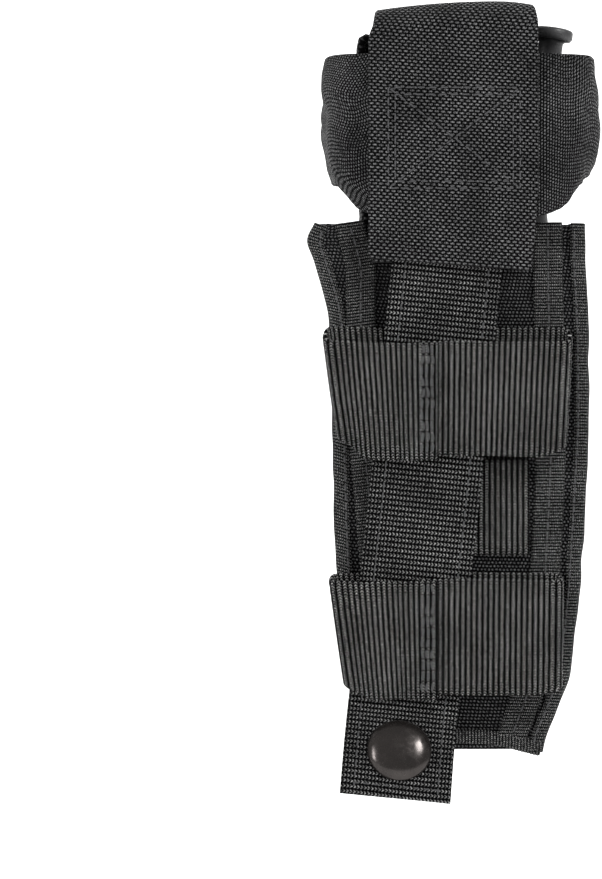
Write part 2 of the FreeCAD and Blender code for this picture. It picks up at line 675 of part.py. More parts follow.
def tq_windlass_rod():
    """A turned rod: swollen middle, waists, slim necks and a round head at each end."""
    half = ROD_LENGTH / 2
    neck = half - ROD_HEAD_THICK
    points = [
        (0, 0),
        (ROD_DIAMETER / 2, 0),
        (ROD_DIAMETER / 2, ROD_SLOT_LENGTH / 2 + 3),
        (ROD_WAIST / 2, ROD_SLOT_LENGTH / 2 + 6),
        (ROD_WAIST / 2, neck - ROD_NECK_LENGTH),
        (ROD_NECK / 2, neck - ROD_NECK_LENGTH + 3),
        (ROD_NECK / 2, neck),
        (ROD_HEAD / 2, neck),
        (ROD_HEAD / 2, half),
        (0, half),
    ]
    centre = Vector(0, 0, PIVOT_Z)
    above = [Vector(r, 0, PIVOT_Z + z) for r, z in points]
    upper = Part.Face(Part.makePolygon(above + above[:1])).revolve(centre, UP, 360)
    rod = fused([upper, upper.mirror(centre, UP)])
    slot = box(
        -ROD_DIAMETER,
        ROD_DIAMETER,
        -ROD_SLOT_HEIGHT / 2,
        ROD_SLOT_HEIGHT / 2,
        PIVOT_Z - ROD_SLOT_LENGTH / 2,
        PIVOT_Z + ROD_SLOT_LENGTH / 2,
    )
    return run_placed(rod.cut(slot))


def tq_windlass_clip():
    """A C-shaped clip: base, two walls and a lip on each, open on its outer side."""
    z0 = PIVOT_Z - CLIP_BELOW_PIVOT - CLIP_LENGTH / 2
    z1 = z0 + CLIP_LENGTH
    half = CLIP_HALF_GAP + CLIP_WALL
    pieces = [box(-half, half, PLATE_FACE_Y, PLATE_FACE_Y + CLIP_BASE, z0, z1)]
    for side in (-1, 1):
        wall = sorted([side * CLIP_HALF_GAP, side * half])
        pieces.append(box(*wall, PLATE_FACE_Y, CLIP_TOP_Y, z0, z1))
        lip = sorted([side * (CLIP_HALF_GAP - CLIP_LIP), side * half])
        pieces.append(box(*lip, CLIP_TOP_Y - CLIP_LIP_THICK, CLIP_TOP_Y, z0, z1))
    return run_placed(fused(pieces))


def tq_time_strap():
    """A short strap across the mouth of the clip."""
    half = CLIP_HALF_GAP + CLIP_WALL
    z0 = PIVOT_Z - CLIP_BELOW_PIVOT - TIME_STRAP_WIDTH / 2
    y1 = CLIP_TOP_Y + TIME_STRAP_THICK
    return run_placed(box(-half, half, CLIP_TOP_Y, y1, z0, z0 + TIME_STRAP_WIDTH))


def tq_buckle():
    """A friction buckle: a frame with one middle bar."""
    half = BUCKLE_WIDTH / 2
    y1 = PLATE_Y + BUCKLE_THICK
    z1 = PIVOT_Z - ROD_LENGTH / 2 - BUCKLE_CLEARANCE
    z0 = z1 - BUCKLE_LENGTH
    frame = box(-half, half, PLATE_Y, y1, z0, z1)
    corners = [e for e in frame.Edges if abs(e.tangentAt(0).y) > 0.99]
    frame = frame.makeFillet(BUCKLE_BAR / 2, corners)
    window = (BUCKLE_LENGTH - 3 * BUCKLE_BAR) / 2
    reach = half - BUCKLE_BAR / 2
    for low in (z0 + BUCKLE_BAR, z0 + 2 * BUCKLE_BAR + window):
        frame = frame.cut(box(-reach, reach, PLATE_Y, y1, low, low + window))
    return run_placed(frame)


# ---------------------------------------------------------------- the whole part
def nodes():
    front_panel, bottom_panel = front_panels()
    left_binding, bottom_binding, right_binding = edge_bindings()
    left_tape, right_tape = inner_tapes()
    return {
        "back_panel": back_panel(),
        "front_panel": front_panel,
        "bottom_panel": bottom_panel,
        "mouth_binding": mouth_binding(),
        "left_edge_binding": left_binding,
        "bottom_edge_binding": bottom_binding,
        "right_edge_binding": right_binding,
        "left_inner_tape": left_tape,
        "right_inner_tape": right_tape,
        "upper_band": band(UPPER_BAND_REACH, UPPER_BAND_Z),
        "lower_band": band(LOWER_BAND_REACH, LOWER_BAND_Z),
        "middle_row": middle_row(),
        "molle_strap": molle_strap(),
        "strap_tail": strap_tail(),
        "snap_cap": snap_cap(),
        "snap_socket": snap_socket(),
        "snap_stud": snap_stud(),
        "snap_post": snap_post(),
        "flap_anchor": flap_anchor(),
        "flap_rear": flap_rear(),
        "flap_top": flap_top(),
        "flap_front": flap_front(),
        "loop_patch": patch(FRONT_Y),
        "hook_patch": patch(HOOK_PATCH_Y),
        "flap_pull_tab": flap_pull_tab(),
        "retention_loop": retention_loop(),
        "tq_band_folds": tq_band_folds(),
        "tq_front_run": tq_front_run(),
        "tq_base_plate": tq_base_plate(),
        "tq_ribbon": tq_ribbon(),
        "tq_windlass_rod": tq_windlass_rod(),
        "tq_windlass_clip": tq_windlass_clip(),
        "tq_time_strap": tq_time_strap(),
        "tq_buckle": tq_buckle(),
    }


def main():
    os.makedirs("parts", exist_ok=True)
    for name, shape in nodes().items():
        solids = shape.Solids
        if not solids or not shape.isValid():
            raise ValueError(f"{name} is not a valid solid")
        whole = solids[0] if len(solids) == 1 else Part.makeCompound(solids)
        whole.exportStep(os.path.join("parts", name + ".step"))
        print(name, len(solids), round(whole.Volume, 1))


main()
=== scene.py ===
"""The looks of the tourniquet pouch and its stowed tourniquet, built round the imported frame.

Lengths in this script are in millimetres until a mesh is made. X runs across the pouch, Z up,
and -Y towards the wearer's vest, which is the side that the camera sees.
"""
import json
import math

import bmesh
import bpy
import numpy as np
from mathutils import Matrix, Vector


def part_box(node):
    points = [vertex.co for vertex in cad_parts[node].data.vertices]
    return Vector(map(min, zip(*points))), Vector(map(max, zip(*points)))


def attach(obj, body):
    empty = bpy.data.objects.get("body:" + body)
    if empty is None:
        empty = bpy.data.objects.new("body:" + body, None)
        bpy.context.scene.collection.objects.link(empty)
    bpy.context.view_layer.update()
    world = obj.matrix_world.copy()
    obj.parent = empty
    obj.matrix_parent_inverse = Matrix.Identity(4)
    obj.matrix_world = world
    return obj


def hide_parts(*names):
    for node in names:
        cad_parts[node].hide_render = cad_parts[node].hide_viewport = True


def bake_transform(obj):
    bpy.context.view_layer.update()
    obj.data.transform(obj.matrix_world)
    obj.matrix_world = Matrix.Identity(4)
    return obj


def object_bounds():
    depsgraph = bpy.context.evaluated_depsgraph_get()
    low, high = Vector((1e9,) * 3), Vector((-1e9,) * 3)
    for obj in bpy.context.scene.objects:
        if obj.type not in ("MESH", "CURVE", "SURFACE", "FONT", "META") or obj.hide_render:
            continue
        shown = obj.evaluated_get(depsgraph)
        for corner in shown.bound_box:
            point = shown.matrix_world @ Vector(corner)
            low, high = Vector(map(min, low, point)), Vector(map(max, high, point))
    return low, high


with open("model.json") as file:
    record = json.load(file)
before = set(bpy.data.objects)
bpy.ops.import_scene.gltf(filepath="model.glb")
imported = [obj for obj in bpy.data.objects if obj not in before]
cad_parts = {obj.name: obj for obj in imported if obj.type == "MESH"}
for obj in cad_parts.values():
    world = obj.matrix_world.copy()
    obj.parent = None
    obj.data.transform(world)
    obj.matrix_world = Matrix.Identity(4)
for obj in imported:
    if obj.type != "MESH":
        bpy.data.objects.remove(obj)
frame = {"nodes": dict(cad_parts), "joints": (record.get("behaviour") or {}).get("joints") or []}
cad_low, cad_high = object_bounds()

MM = 0.001
TAU = 2 * math.pi
X, Y, Z = 0, 1, 2


def node_box(name):
    """A CAD node's lowest and highest corner, in millimetres."""
    low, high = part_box(name)
    return np.array(low) / MM, np.array(high) / MM


# ================================================================ numbers
def smooth(t):
    t = np.clip(t, 0.0, 1.0)
    return t * t * (3 - 2 * t)


def mix(a, b, t):
    return a + (b - a) * t


def follow(z, *points):
    """A value that passes through (height, value) points, listed from the top down."""
    heights = [p[0] for p in points][::-1]
    values = [p[1] for p in points][::-1]
    return np.interp(z, heights, values)


def follow_x(x, *points):
    """A value by place across, between (x, value) points from left to right."""
    return np.interp(x, [p[0] for p in points], [p[1] for p in points])


def waves(a, b, seed, scale, octaves=3):
    """A smooth uneven field of about -1 to 1 over two coordinates in millimetres."""
    rng = np.random.default_rng(seed)
    total = np.zeros(np.broadcast(a, b).shape)
    for octave in range(octaves):
        size = scale / 1.7**octave
        for _ in range(4):
            angle, phase_a, stretch = rng.uniform(0, TAU), rng.uniform(0, TAU), rng.uniform(0.7, 1.4)
            wave = np.sin(
                (a * math.cos(angle) + b * math.sin(angle)) * TAU / (size * stretch) + phase_a
            )
            total = total + wave * 0.25 / 1.5**octave
    return total


def smoothed(values, width):
    """Values softened over a window of twice the width, with the ends held."""
    kernel = np.hanning(2 * width + 1)
    kernel = kernel / kernel.sum()
    padded = np.concatenate([np.full(width, values[0]), values, np.full(width, values[-1])])
    return np.convolve(padded, kernel, "valid")


def ribs(along, period, power=0.7):
    """Round ribs, from 0 in the grooves to 1 on top."""
    return np.abs(np.cos(along * math.pi / period)) ** power


def resample(points, step):
    """A polyline walked at an even step, with its length at each point."""
    points = np.asarray(points, float)
    gaps = np.linalg.norm(np.diff(points, axis=0), axis=1)
    length = np.concatenate([[0], np.cumsum(gaps)])
    count = max(2, int(round(length[-1] / step)) + 1)
    walk = np.linspace(0, length[-1], count)
    spots = np.stack([np.interp(walk, length, points[:, k]) for k in range(points.shape[1])], 1)
    return spots, walk


def arc_points(centre, radius, start, end, count=24):
    """Points of an arc in a plane, angles in degrees."""
    angles = np.radians(np.linspace(start, end, count))
    return [(centre[0] + radius * math.cos(a), centre[1] + radius * math.sin(a)) for a in angles]


def turn(points, degrees, axis, centre):
    """Points turned about an axis through a centre."""
    matrix = np.array(Matrix.Rotation(math.radians(degrees), 3, axis))
    return (points - np.array(centre)) @ matrix.T + np.array(centre)


# ================================================================ meshes
def linked(name, data):
    """A new object in the scene, round a mesh, a camera or a lamp."""
    thing = bpy.data.objects.new(name, data)
    bpy.context.scene.collection.objects.link(thing)
    return thing


def mesh_object(name, verts, faces, uv=None, shade_smooth=True):
    """An object from numpy points in millimetres and quads, with a UV layer in millimetres."""
    mesh = bpy.data.meshes.new(name)
    mesh.vertices.add(len(verts))
    mesh.vertices.foreach_set("co", (np.asarray(verts) * MM).astype(np.float32).ravel())
    faces = np.asarray(faces, np.int32)
    mesh.loops.add(faces.size)
    mesh.loops.foreach_set("vertex_index", faces.ravel())
    mesh.polygons.add(len(faces))
    starts = np.arange(0, faces.size, faces.shape[1], dtype=np.int32)
    mesh.polygons.foreach_set("loop_start", starts)
    mesh.update(calc_edges=True)
    mesh.polygons.foreach_set("use_smooth", [shade_smooth] * len(faces))
    if uv is not None:
        layer = mesh.uv_layers.new(name="Weave")
        layer.data.foreach_set("uv", np.asarray(uv)[faces.ravel()].astype(np.float32).ravel())
    mesh.validate()
    return linked(name, mesh)


def unit(vectors):
    """Vectors of length one in the same directions."""
    return vectors / np.maximum(np.linalg.norm(vectors, axis=-1, keepdims=True), 1e-12)


def grid_normals(grid, loop):
    """A grid's normals. A loop's last row meets its first."""
    along = np.gradient(grid, axis=0)
    if loop:
        along = np.roll(grid, -1, 0) - np.roll(grid, 1, 0)
    across = np.gradient(grid, axis=1)
    return unit(np.cross(along, across))


def grid_lengths(grid):
    """How far each point is along its row and along its column, in millimetres."""
    step_u = np.linalg.norm(np.diff(grid, axis=0), axis=2)
    step_v = np.linalg.norm(np.diff(grid, axis=1), axis=2)
    u = np.concatenate([np.zeros((1, grid.shape[1])), np.cumsum(step_u, 0)])
    v = np.concatenate([np.zeros((grid.shape[0], 1)), np.cumsum(step_v, 1)], 1)
    return u, v


def cloth_solid(
    name, grid, thick, relief=0.0, back=0.0, loop=False, flip=False, hem=0.5, weave=None
):
    """A closed sheet of webbing or fabric round a grid of mid-surface points.

    relief lifts the outer face and back the inner one. hem rounds the long edges. weave
    gives the cloth's own length and width at each point, where the grid is sheared.
    """
    grid = np.asarray(grid, float)
    rows, columns = grid.shape[:2]
    normals = grid_normals(grid, loop) * (-1 if flip else 1)
    u, v = grid_lengths(grid)
    reach = v[:, -1:]
    edge = np.minimum(v, reach - v)
    profile = 0.35 + 0.65 * np.sqrt(np.clip(1 - (1 - np.clip(edge / hem, 0, 1)) ** 2, 0, 1))
    if not loop:
        end = np.minimum(u, u[-1:] - u)
        profile = profile * (
            0.35 + 0.65 * np.sqrt(np.clip(1 - (1 - np.clip(end / hem, 0, 1)) ** 2, 0, 1))
        )
    fade = np.clip(edge / hem, 0, 1)
    outer = grid + normals * ((thick / 2 * profile) + relief * fade)[..., None]
    inner = grid - normals * ((thick / 2 * profile) + back * fade)[..., None]
    verts = np.concatenate([outer.reshape(-1, 3), inner.reshape(-1, 3)])
    index = np.arange(rows * columns).reshape(rows, columns)
    nxt = np.roll(index, -1, 0) if loop else index[1:]
    now = index if loop else index[:-1]
    shift = rows * columns

    def quads(a, b, c, d):
        return np.stack([a.ravel(), b.ravel(), c.ravel(), d.ravel()], 1)

    faces = [
        quads(now[:, :-1], nxt[:, :-1], nxt[:, 1:], now[:, 1:]),
        quads(now[:, 1:], nxt[:, 1:], nxt[:, :-1], now[:, :-1]) + shift,
        quads(now[:, 0], now[:, 0] + shift, nxt[:, 0] + shift, nxt[:, 0]),
        quads(nxt[:, -1], nxt[:, -1] + shift, now[:, -1] + shift, now[:, -1]),
    ]
    if not loop:
        first, last = index[0], index[-1]
        faces.append(quads(first[:-1], first[1:], first[1:] + shift, first[:-1] + shift))
        faces.append(quads(last[1:], last[:-1], last[:-1] + shift, last[1:] + shift))
    faces = np.concatenate(faces)
    if flip:
        faces = faces[:, ::-1]
    if weave is not None:
        u, v = np.broadcast_arrays(*weave)
    uv = np.stack([u, v], 2).reshape(-1, 2)
    return mesh_object(name, verts, faces, np.concatenate([uv, uv]))


def lathe(name, profile, centre, axis, segments=48):
    """A turned solid. profile lists (radius, height) along the axis, and closes on the axis."""
    profile = np.asarray(profile, float)
    angles = np.linspace(0, TAU, segments, endpoint=False)
    ring = np.stack([np.cos(angles), np.sin(angles)], 1)
    verts = [[0, 0, profile[0, 1]]]
    for radius, height in profile[1:-1]:
        verts.extend([[radius * c, radius * s, height] for c, s in ring])
    verts.append([0, 0, profile[-1, 1]])
    rings = len(profile) - 2
    faces = []
    for k in range(segments):
        after = (k + 1) % segments
        faces.append((0, 1 + after, 1 + k))
        for r in range(rings - 1):
            a, b = 1 + r * segments, 1 + (r + 1) * segments
            faces.append((a + k, a + after, b + after, b + k))
        a = 1 + (rings - 1) * segments
        faces.append((a + k, a + after, len(verts) - 1))
    mesh = bpy.data.meshes.new(name)
    spin = Vector((0, 0, 1)).rotation_difference(Vector(axis)).to_matrix()
    placed = [(spin @ Vector(v) + Vector(centre)) * MM for v in verts]
    mesh.from_pydata(placed, [], faces)
    mesh.polygons.foreach_set("use_smooth", [True] * len(mesh.polygons))
    mesh.update()
    thing = linked(name, mesh)
    sharpen(thing, 50)
    return thing


def sharpen(thing, degrees):
    """Marks edges over an angle as sharp, so that smooth shading keeps them crisp."""
    bm = bmesh.new()
    bm.from_mesh(thing.data)
    bmesh.ops.recalc_face_normals(bm, faces=bm.faces)
    limit = math.radians(degrees)
    for edge in bm.edges:
        if len(edge.link_faces) == 2 and edge.calc_face_angle(0) > limit:
            edge.smooth = False
    bm.to_mesh(thing.data)
    bm.free()


def softened(name, node, width, segments=3):
    """A copy of a CAD node's mesh with its sharp edges rounded."""
    source = frame["nodes"][node]
    mesh = source.data.copy()
    mesh.name = name
    mesh.materials.clear()
    bm = bmesh.new()
    bm.from_mesh(mesh)
    bmesh.ops.remove_doubles(bm, verts=bm.verts, dist=1e-6)
    bmesh.ops.dissolve_limit(
        bm, angle_limit=math.radians(2), verts=bm.verts, edges=bm.edges, delimit=set()
    )
    bm.to_mesh(mesh)
    bm.free()
    thing = linked(name, mesh)
    bevel = thing.modifiers.new("round", "BEVEL")
    bevel.width = width * MM
    bevel.segments = segments
    bevel.limit_method = "ANGLE"
    bevel.angle_limit = math.radians(35)
    bevel.harden_normals = True
    mesh.polygons.foreach_set("use_smooth", [True] * len(mesh.polygons))
    apply_modifiers(thing)
    return thing


def apply_modifiers(thing):
    graph = bpy.context.evaluated_depsgraph_get()
    graph.update()
    done = bpy.data.meshes.new_from_object(thing.evaluated_get(graph))
    thing.modifiers.clear()
    thing.data = done


def stitches(name, lines, radius=0.22, stitch=1.9, gap=0.75, lift=0.05):
    """Rows of sewing thread. Each line is (points, outward normals) in millimetres."""
    sides, rings = 6, 7
    angles = np.linspace(0, TAU, sides, endpoint=False)
    shape_t = np.linspace(0, 1, rings)
    girth = np.sqrt(np.clip(1 - (2 * shape_t - 1) ** 4, 0, 1)) * 0.92 + 0.08
    verts, faces, uvs = [], [], []
    for points, normals in lines:
        points, normals = np.asarray(points, float), np.asarray(normals, float)
        if normals.ndim == 1:
            normals = np.tile(normals, (len(points), 1))
        gaps = np.linalg.norm(np.diff(points, axis=0), axis=1)
        walk = np.concatenate([[0], np.cumsum(gaps)])
        count = max(1, int(walk[-1] / (stitch + gap)))
        pitch = walk[-1] / count
        for k in range(count):
            start = k * pitch + gap * pitch / (stitch + gap) / 2
            spots = start + shape_t * pitch * stitch / (stitch + gap)
            at = np.stack([np.interp(spots, walk, points[:, i]) for i in range(3)], 1)
            up = unit(np.stack([np.interp(spots, walk, normals[:, i]) for i in range(3)], 1))
            ahead = unit(np.gradient(at, axis=0))
            side = unit(np.cross(up, ahead))
            bow = (np.sin(shape_t * math.pi) ** 0.5 * radius * 0.55 - radius * 0.45 + lift)[:, None]
            base = sum(len(v) for v in verts)
            for r in range(rings):
                ring = (
                    at[r]
                    + up[r] * bow[r]
                    + radius
                    * girth[r]
                    * (np.cos(angles)[:, None] * side[r] + np.sin(angles)[:, None] * up[r])
                )
                verts.append(ring)
                uvs.append(np.stack([np.full(sides, spots[r]), angles * radius], 1))
            for r in range(rings - 1):
                for j in range(sides):
                    a, b = base + r * sides + j, base + r * sides + (j + 1) % sides
                    faces.append((a, b, b + sides, a + sides))
            for row, order in ((0, (0, 5, 4, 3)), (0, (3, 2, 1, 0)), (rings - 1, (0, 1, 2, 3)),
                               (rings - 1, (3, 4, 5, 0))):
                faces.append(tuple(base + row * sides + j for j in order))
    return mesh_object(name, np.concatenate(verts), faces, np.concatenate(uvs))


# ================================================================ materials
class Nodes:
    """A short way to write a material's node tree."""

    def __init__(self, name):
        self.material = bpy.data.materials.new(name)
        self.material.use_nodes = True
        self.tree = self.material.node_tree
        self.shader = self.tree.nodes["Principled BSDF"]

    def add(self, kind, **settings):
        node = self.tree.nodes.new(kind)
        for key, value in settings.items():
            setattr(node, key, value)
        return node

    def plug(self, value, socket):
        if isinstance(value, (int, float, tuple)):
            socket.default_value = value
        else:
            self.tree.links.new(value, socket)

    def math(self, operation, a, b=0.0, c=0.0):
        node = self.add("ShaderNodeMath", operation=operation)
        for value, socket in zip((a, b, c), node.inputs):
            self.plug(value, socket)
        return node.outputs[0]

    def mix(self, factor, a, b):
        node = self.add("ShaderNodeMix", data_type="RGBA")
        self.plug(factor, node.inputs["Factor"])
        self.plug(a, node.inputs["A"])
        self.plug(b, node.inputs["B"])
        return node.outputs["Result"]

    def ramp(self, value, low, high, to_low=0.0, to_high=1.0):
        node = self.add("ShaderNodeMapRange", clamp=True)
        for item, socket in zip((value, low, high, to_low, to_high), node.inputs):
            self.plug(item, socket)
        return node.outputs[0]

    def noise(self, vector, scale, detail=3.0, rough=0.55):
        node = self.add("ShaderNodeTexNoise")
        self.plug(vector, node.inputs["Vector"])
        self.plug(scale, node.inputs["Scale"])
        self.plug(detail, node.inputs["Detail"])
        self.plug(rough, node.inputs["Roughness"])
        return node.outputs["Fac"]

    def weave_coordinates(self):
        """The sheet's own length and width coordinates, in millimetres."""
        where = self.add("ShaderNodeUVMap", uv_map="Weave").outputs[0]
        split = self.add("ShaderNodeSeparateXYZ")
        self.plug(where, split.inputs[0])
        return split.outputs[0], split.outputs[1], where

    def place(self):
        return self.add("ShaderNodeTexCoord").outputs["Object"]

    def bump(self, height, distance):
        node = self.add("ShaderNodeBump")
        node.inputs["Distance"].default_value = distance * MM
        node.inputs["Strength"].default_value = 1.0
        self.plug(height, node.inputs["Height"])
        self.plug(node.outputs[0], self.shader.inputs["Normal"])

    def set(self, **values):
        for key, value in values.items():
            self.plug(value, self.shader.inputs[key.replace("_", " ")])


def yarn_grid(n, u, v, long, short, stagger=0.5):
    """Rows of staggered yarn floats: long along v, short along u. From 0 to 1."""
    row = n.math("DIVIDE", u, short)
    step = n.math("FLOOR", row)
    shifted = n.math("ADD", n.math("DIVIDE", v, long), n.math("MULTIPLY", step, stagger))
    across = n.math("ABSOLUTE", n.math("SINE", n.math("MULTIPLY", row, math.pi)))
    along = n.math("ABSOLUTE", n.math("SINE", n.math("MULTIPLY", shifted, math.pi)))
    return n.math("MULTIPLY", n.math("POWER", across, 0.6), n.math("POWER", along, 0.5))


def cloth_material(
    name, groove_shade, crest_glint, pattern, depth, rough=(0.6, 0.36), sheen=0.04, lint=0.0, fade=0.35
):
    """Dyed nylon: pattern makes its weave height from the sheet's own coordinates. The colour paints
    shade into the weave's grooves and a glint on its crests, with random blotches and fibres over
    both.
    """
    n = Nodes(name)
    u, v, where = n.weave_coordinates()
    height = pattern(n, u, v)
    place = n.place()
    blotch = n.noise(place, 90.0, 4.0)
    fibre = n.noise(where, 3.1, 2.0)
    # Painted light: the weave's height sets the colour, near black as painted shade in the grooves
    # and lighter as a painted glint on the crests; the blotch and fibre noise add random tone on
    # top.
    tone = n.math("MULTIPLY", n.ramp(height, 0.42, 0.95), n.ramp(blotch, 0.3, 0.7, 1.0 - fade, 1.0))
    tone = n.math("MULTIPLY", tone, n.ramp(fibre, 0.34, 0.68, 0.15, 1.3))
    tone = n.math("POWER", tone, 1.5)
    colour = n.mix(tone, (*groove_shade, 1.0), (*crest_glint, 1.0))
    if lint:
        speck = n.noise(where, 1.9, 1.0, 0.4)
        colour = n.mix(n.ramp(speck, 0.72, 0.78, 0.0, lint), colour, (0.32, 0.32, 0.33, 1.0))
    n.set(Base_Color=colour, Roughness=n.ramp(tone, 0.0, 1.0, rough[0], rough[1]))
    n.set(Specular_IOR_Level=n.ramp(tone, 0.1, 0.8, 0.0, 0.4))
    n.set(Sheen_Weight=sheen, Sheen_Roughness=0.45)
    rise = n.math("ADD", height, n.math("MULTIPLY", fibre, 0.35))
    n.bump(rise, depth)
    return n.material


def flat_weave(long, short, stagger=0.5):
    return lambda n, u, v: yarn_grid(n, u, v, long, short, stagger)


def rib_weave(period, filament):
    """Fine filaments that run along each modelled rib, with a chevron lean."""

    def pattern(n, u, v):
        inside = n.math("PINGPONG", u, period / 2)
        lean = n.math("ADD", v, n.math("MULTIPLY", inside, 0.9))
        strand = n.math("SINE", n.math("MULTIPLY", lean, TAU / filament))
        rib = n.math("ABSOLUTE", n.math("COSINE", n.math("MULTIPLY", u, math.pi / period)))
        strand = n.math("MULTIPLY_ADD", strand, 0.3, 0.62)
        return n.math("MULTIPLY", n.math("POWER", rib, 0.5), strand)

    return pattern


def pile_weave(n, u, v):
    """Hook or loop pile."""
    _, _, where = n.weave_coordinates()
    node = n.add("ShaderNodeTexVoronoi", feature="DISTANCE_TO_EDGE")
    n.plug(where, node.inputs["Vector"])
    node.inputs["Scale"].default_value = 1.1
    return n.ramp(node.outputs["Distance"], 0.0, 0.35)


def plastic_material(name, colour, rough=0.48, grain=0.06):
    n = Nodes(name)
    place = n.place()
    fine = n.noise(place, 2600.0, 2.0)
    broad = n.noise(place, 120.0, 3.0)
    tint = tuple(c * 1.5 for c in colour)
    n.set(Base_Color=n.mix(n.ramp(broad, 0.3, 0.7), (*colour, 1.0), (*tint, 1.0)))
    n.set(Roughness=n.ramp(fine, 0.3, 0.7, rough - 0.08, rough + 0.12))
    n.bump(fine, grain)
    return n.material


def metal_material(name, colour, rough=0.3, metallic=0.85, scratch=0.015):
    n = Nodes(name)
    place = n.place()
    fine = n.noise(place, 900.0, 4.0)
    broad = n.noise(place, 150.0, 3.0)
    tint = tuple(c * 0.6 for c in colour)
    n.set(Base_Color=n.mix(n.ramp(broad, 0.35, 0.7), (*tint, 1.0), (*colour, 1.0)))
    n.set(Roughness=n.ramp(fine, 0.3, 0.75, rough - 0.07, rough + 0.1), Metallic=metallic)
    n.bump(fine, scratch)
    return n.material


def thread_material(name, colour):
    n = Nodes(name)
    u, v, _ = n.weave_coordinates()
    twist = n.math("SINE", n.math("MULTIPLY", n.math("ADD", u, n.math("MULTIPLY", v, 1.4)), 16.0))
    tone = n.math("MULTIPLY_ADD", twist, 0.5, 0.5)
    # Painted glint: the twist's crests are coloured up to 2.6 times lighter than its hollows.
    crest_glint = tuple(c * 2.6 for c in colour)
    n.set(Base_Color=n.mix(tone, (*colour, 1.0), (*crest_glint, 1.0)), Roughness=0.5)
    n.set(Specular_IOR_Level=0.2)
    n.bump(tone, 0.05)
    return n.material


# Painted shade: the near black that every weave's grooves get.
GROOVE_SHADE_BLACK = (0.0005, 0.0005, 0.0006)
RIB_PERIOD = 1.28
STRAP_RIB = 1.2
GROSGRAIN_RIB = 0.72
FLAP_ROW = 0.73


def make_materials():
    """Every material, by the short name that the pieces ask for it with."""
    made = {}
    # Each entry's colour is the painted glint on the weave's crests; the grooves take the painted
    # shade black.
    for key, name, crest_glint, pattern, depth, more in (
        ("band", "heavy_webbing", (0.400, 0.396, 0.390), rib_weave(RIB_PERIOD, 0.62), 0.09, {}),
        ("strap", "strap_webbing", (0.330, 0.329, 0.325), rib_weave(STRAP_RIB, 0.8), 0.09, {}),
        ("flap", "flap_webbing", (0.150, 0.150, 0.152), flat_weave(1.42, FLAP_ROW), 0.16,
         {"lint": 0.2}),
        ("grosgrain", "grosgrain", (0.360, 0.359, 0.355), rib_weave(GROSGRAIN_RIB, 0.4), 0.05, {}),
        ("elastic", "elastic", (0.130, 0.130, 0.132), flat_weave(0.8, 0.66), 0.14, {"lint": 0.15}),
        ("cordura", "pouch_fabric", (0.095, 0.095, 0.097), flat_weave(0.85, 0.8), 0.16,
         {"lint": 0.2}),
        ("pile", "hook_and_loop", (0.015, 0.015, 0.016), pile_weave, 0.3, {}),
        ("tq", "tourniquet_webbing", (0.018, 0.018, 0.019), flat_weave(1.0, 0.9), 0.12,
         {"sheen": 0.15}),
    ):
        made[key] = cloth_material(name, GROOVE_SHADE_BLACK, crest_glint, pattern, depth, **more)
    # Grey webbing: its first colour is painted shade in the grooves and its second a painted glint
    # on the crests.
    made["grey"] = cloth_material(
        "grey_webbing", (0.10, 0.10, 0.105), (0.30, 0.30, 0.31), flat_weave(0.9, 0.7), 0.1
    )
    made["plastic"] = plastic_material("black_nylon", (0.012, 0.012, 0.013))
    made["cap"] = metal_material("gunmetal", (0.040, 0.035, 0.033), 0.24, 0.75)
    made["steel"] = metal_material("plain_metal", (0.42, 0.41, 0.40), 0.36, 1.0)
    made["thread"] = thread_material("thread", (0.026, 0.026, 0.027))
    return made


materials = make_materials()


def finish_piece(thing, material, nodes=(), body="pouch"):
    """Gives a piece its material, hides the CAD parts that it stands in for and attaches it to the
    body it rides on, if any.
    """
    thing.data.materials.clear()
    thing.data.materials.append(materials[material])
    if body:
        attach(thing, body)
    if nodes:
        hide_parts(*nodes)
    return thing


# ================================================================ shared places
PANEL_LOW, PANEL_HIGH = node_box("back_panel")
BINDING_LOW, BINDING_HIGH = node_box("right_edge_binding")
_, FRONT_HIGH = node_box("front_panel")
FLAP_LOW, FLAP_HIGH = node_box("flap_rear")
TOP_LOW, TOP_HIGH = node_box("flap_top")
APRON_LOW, APRON_HIGH = node_box("flap_front")

MOUTH_Z = PANEL_HIGH[Z]
BOTTOM_Z = node_box("bottom_edge_binding")[0][Z]
SKIN_Y = BINDING_LOW[Y]                 # outer face of the tapes and bindings
FRONT_Y = FRONT_HIGH[Y]


def joint_place(name):
    joint = next(j for j in frame["joints"] if j["name"] == name)
    return np.array(joint["pos_m"]) / MM


def left_edge(z):
    """The body's left edge, with the flare at its top corner."""
    return -follow(
        z, (67.4, 32.6), (64.0, 35.2), (60.5, 33.7), (54.7, 31.9), (50.4, 30.6), (46.0, 29.6),
        (40.0, 29.2), (16.0, 28.8), (-4.0, 28.3), (-16.0, 27.7), (-37.0, 25.4), (-54.0, 19.4),
    )


def right_edge(z):
    return follow(
        z, (67.4, 29.0), (60.0, 28.8), (42.0, 29.7), (20.0, 29.8), (2.0, 28.8), (-16.0, 27.7),
        (-26.0, 26.7), (-37.0, 25.2), (-43.0, 22.9), (-50.0, 19.9), (-54.0, 19.2),
    )


def edge_line(side, top=None, foot=None, inset=0.0, step=0.12):
    """A smoothed path down one edge of the body, in the XZ plane."""
    top = MOUTH_Z + 0.6 if top is None else top
    foot = BOTTOM_Z if foot is None else foot
    z = np.linspace(top, foot, 900)
    x = left_edge(z) + inset if side < 0 else right_edge(z) - inset
    return resample(np.stack([smoothed(x, 30), z], 1), step)[0]


def flare_y(x, z):
    """How far the body's top left corner curls towards the wearer."""
    return -2.6 * smooth((z - 44) / 20) * smooth((-x - 18) / 14)


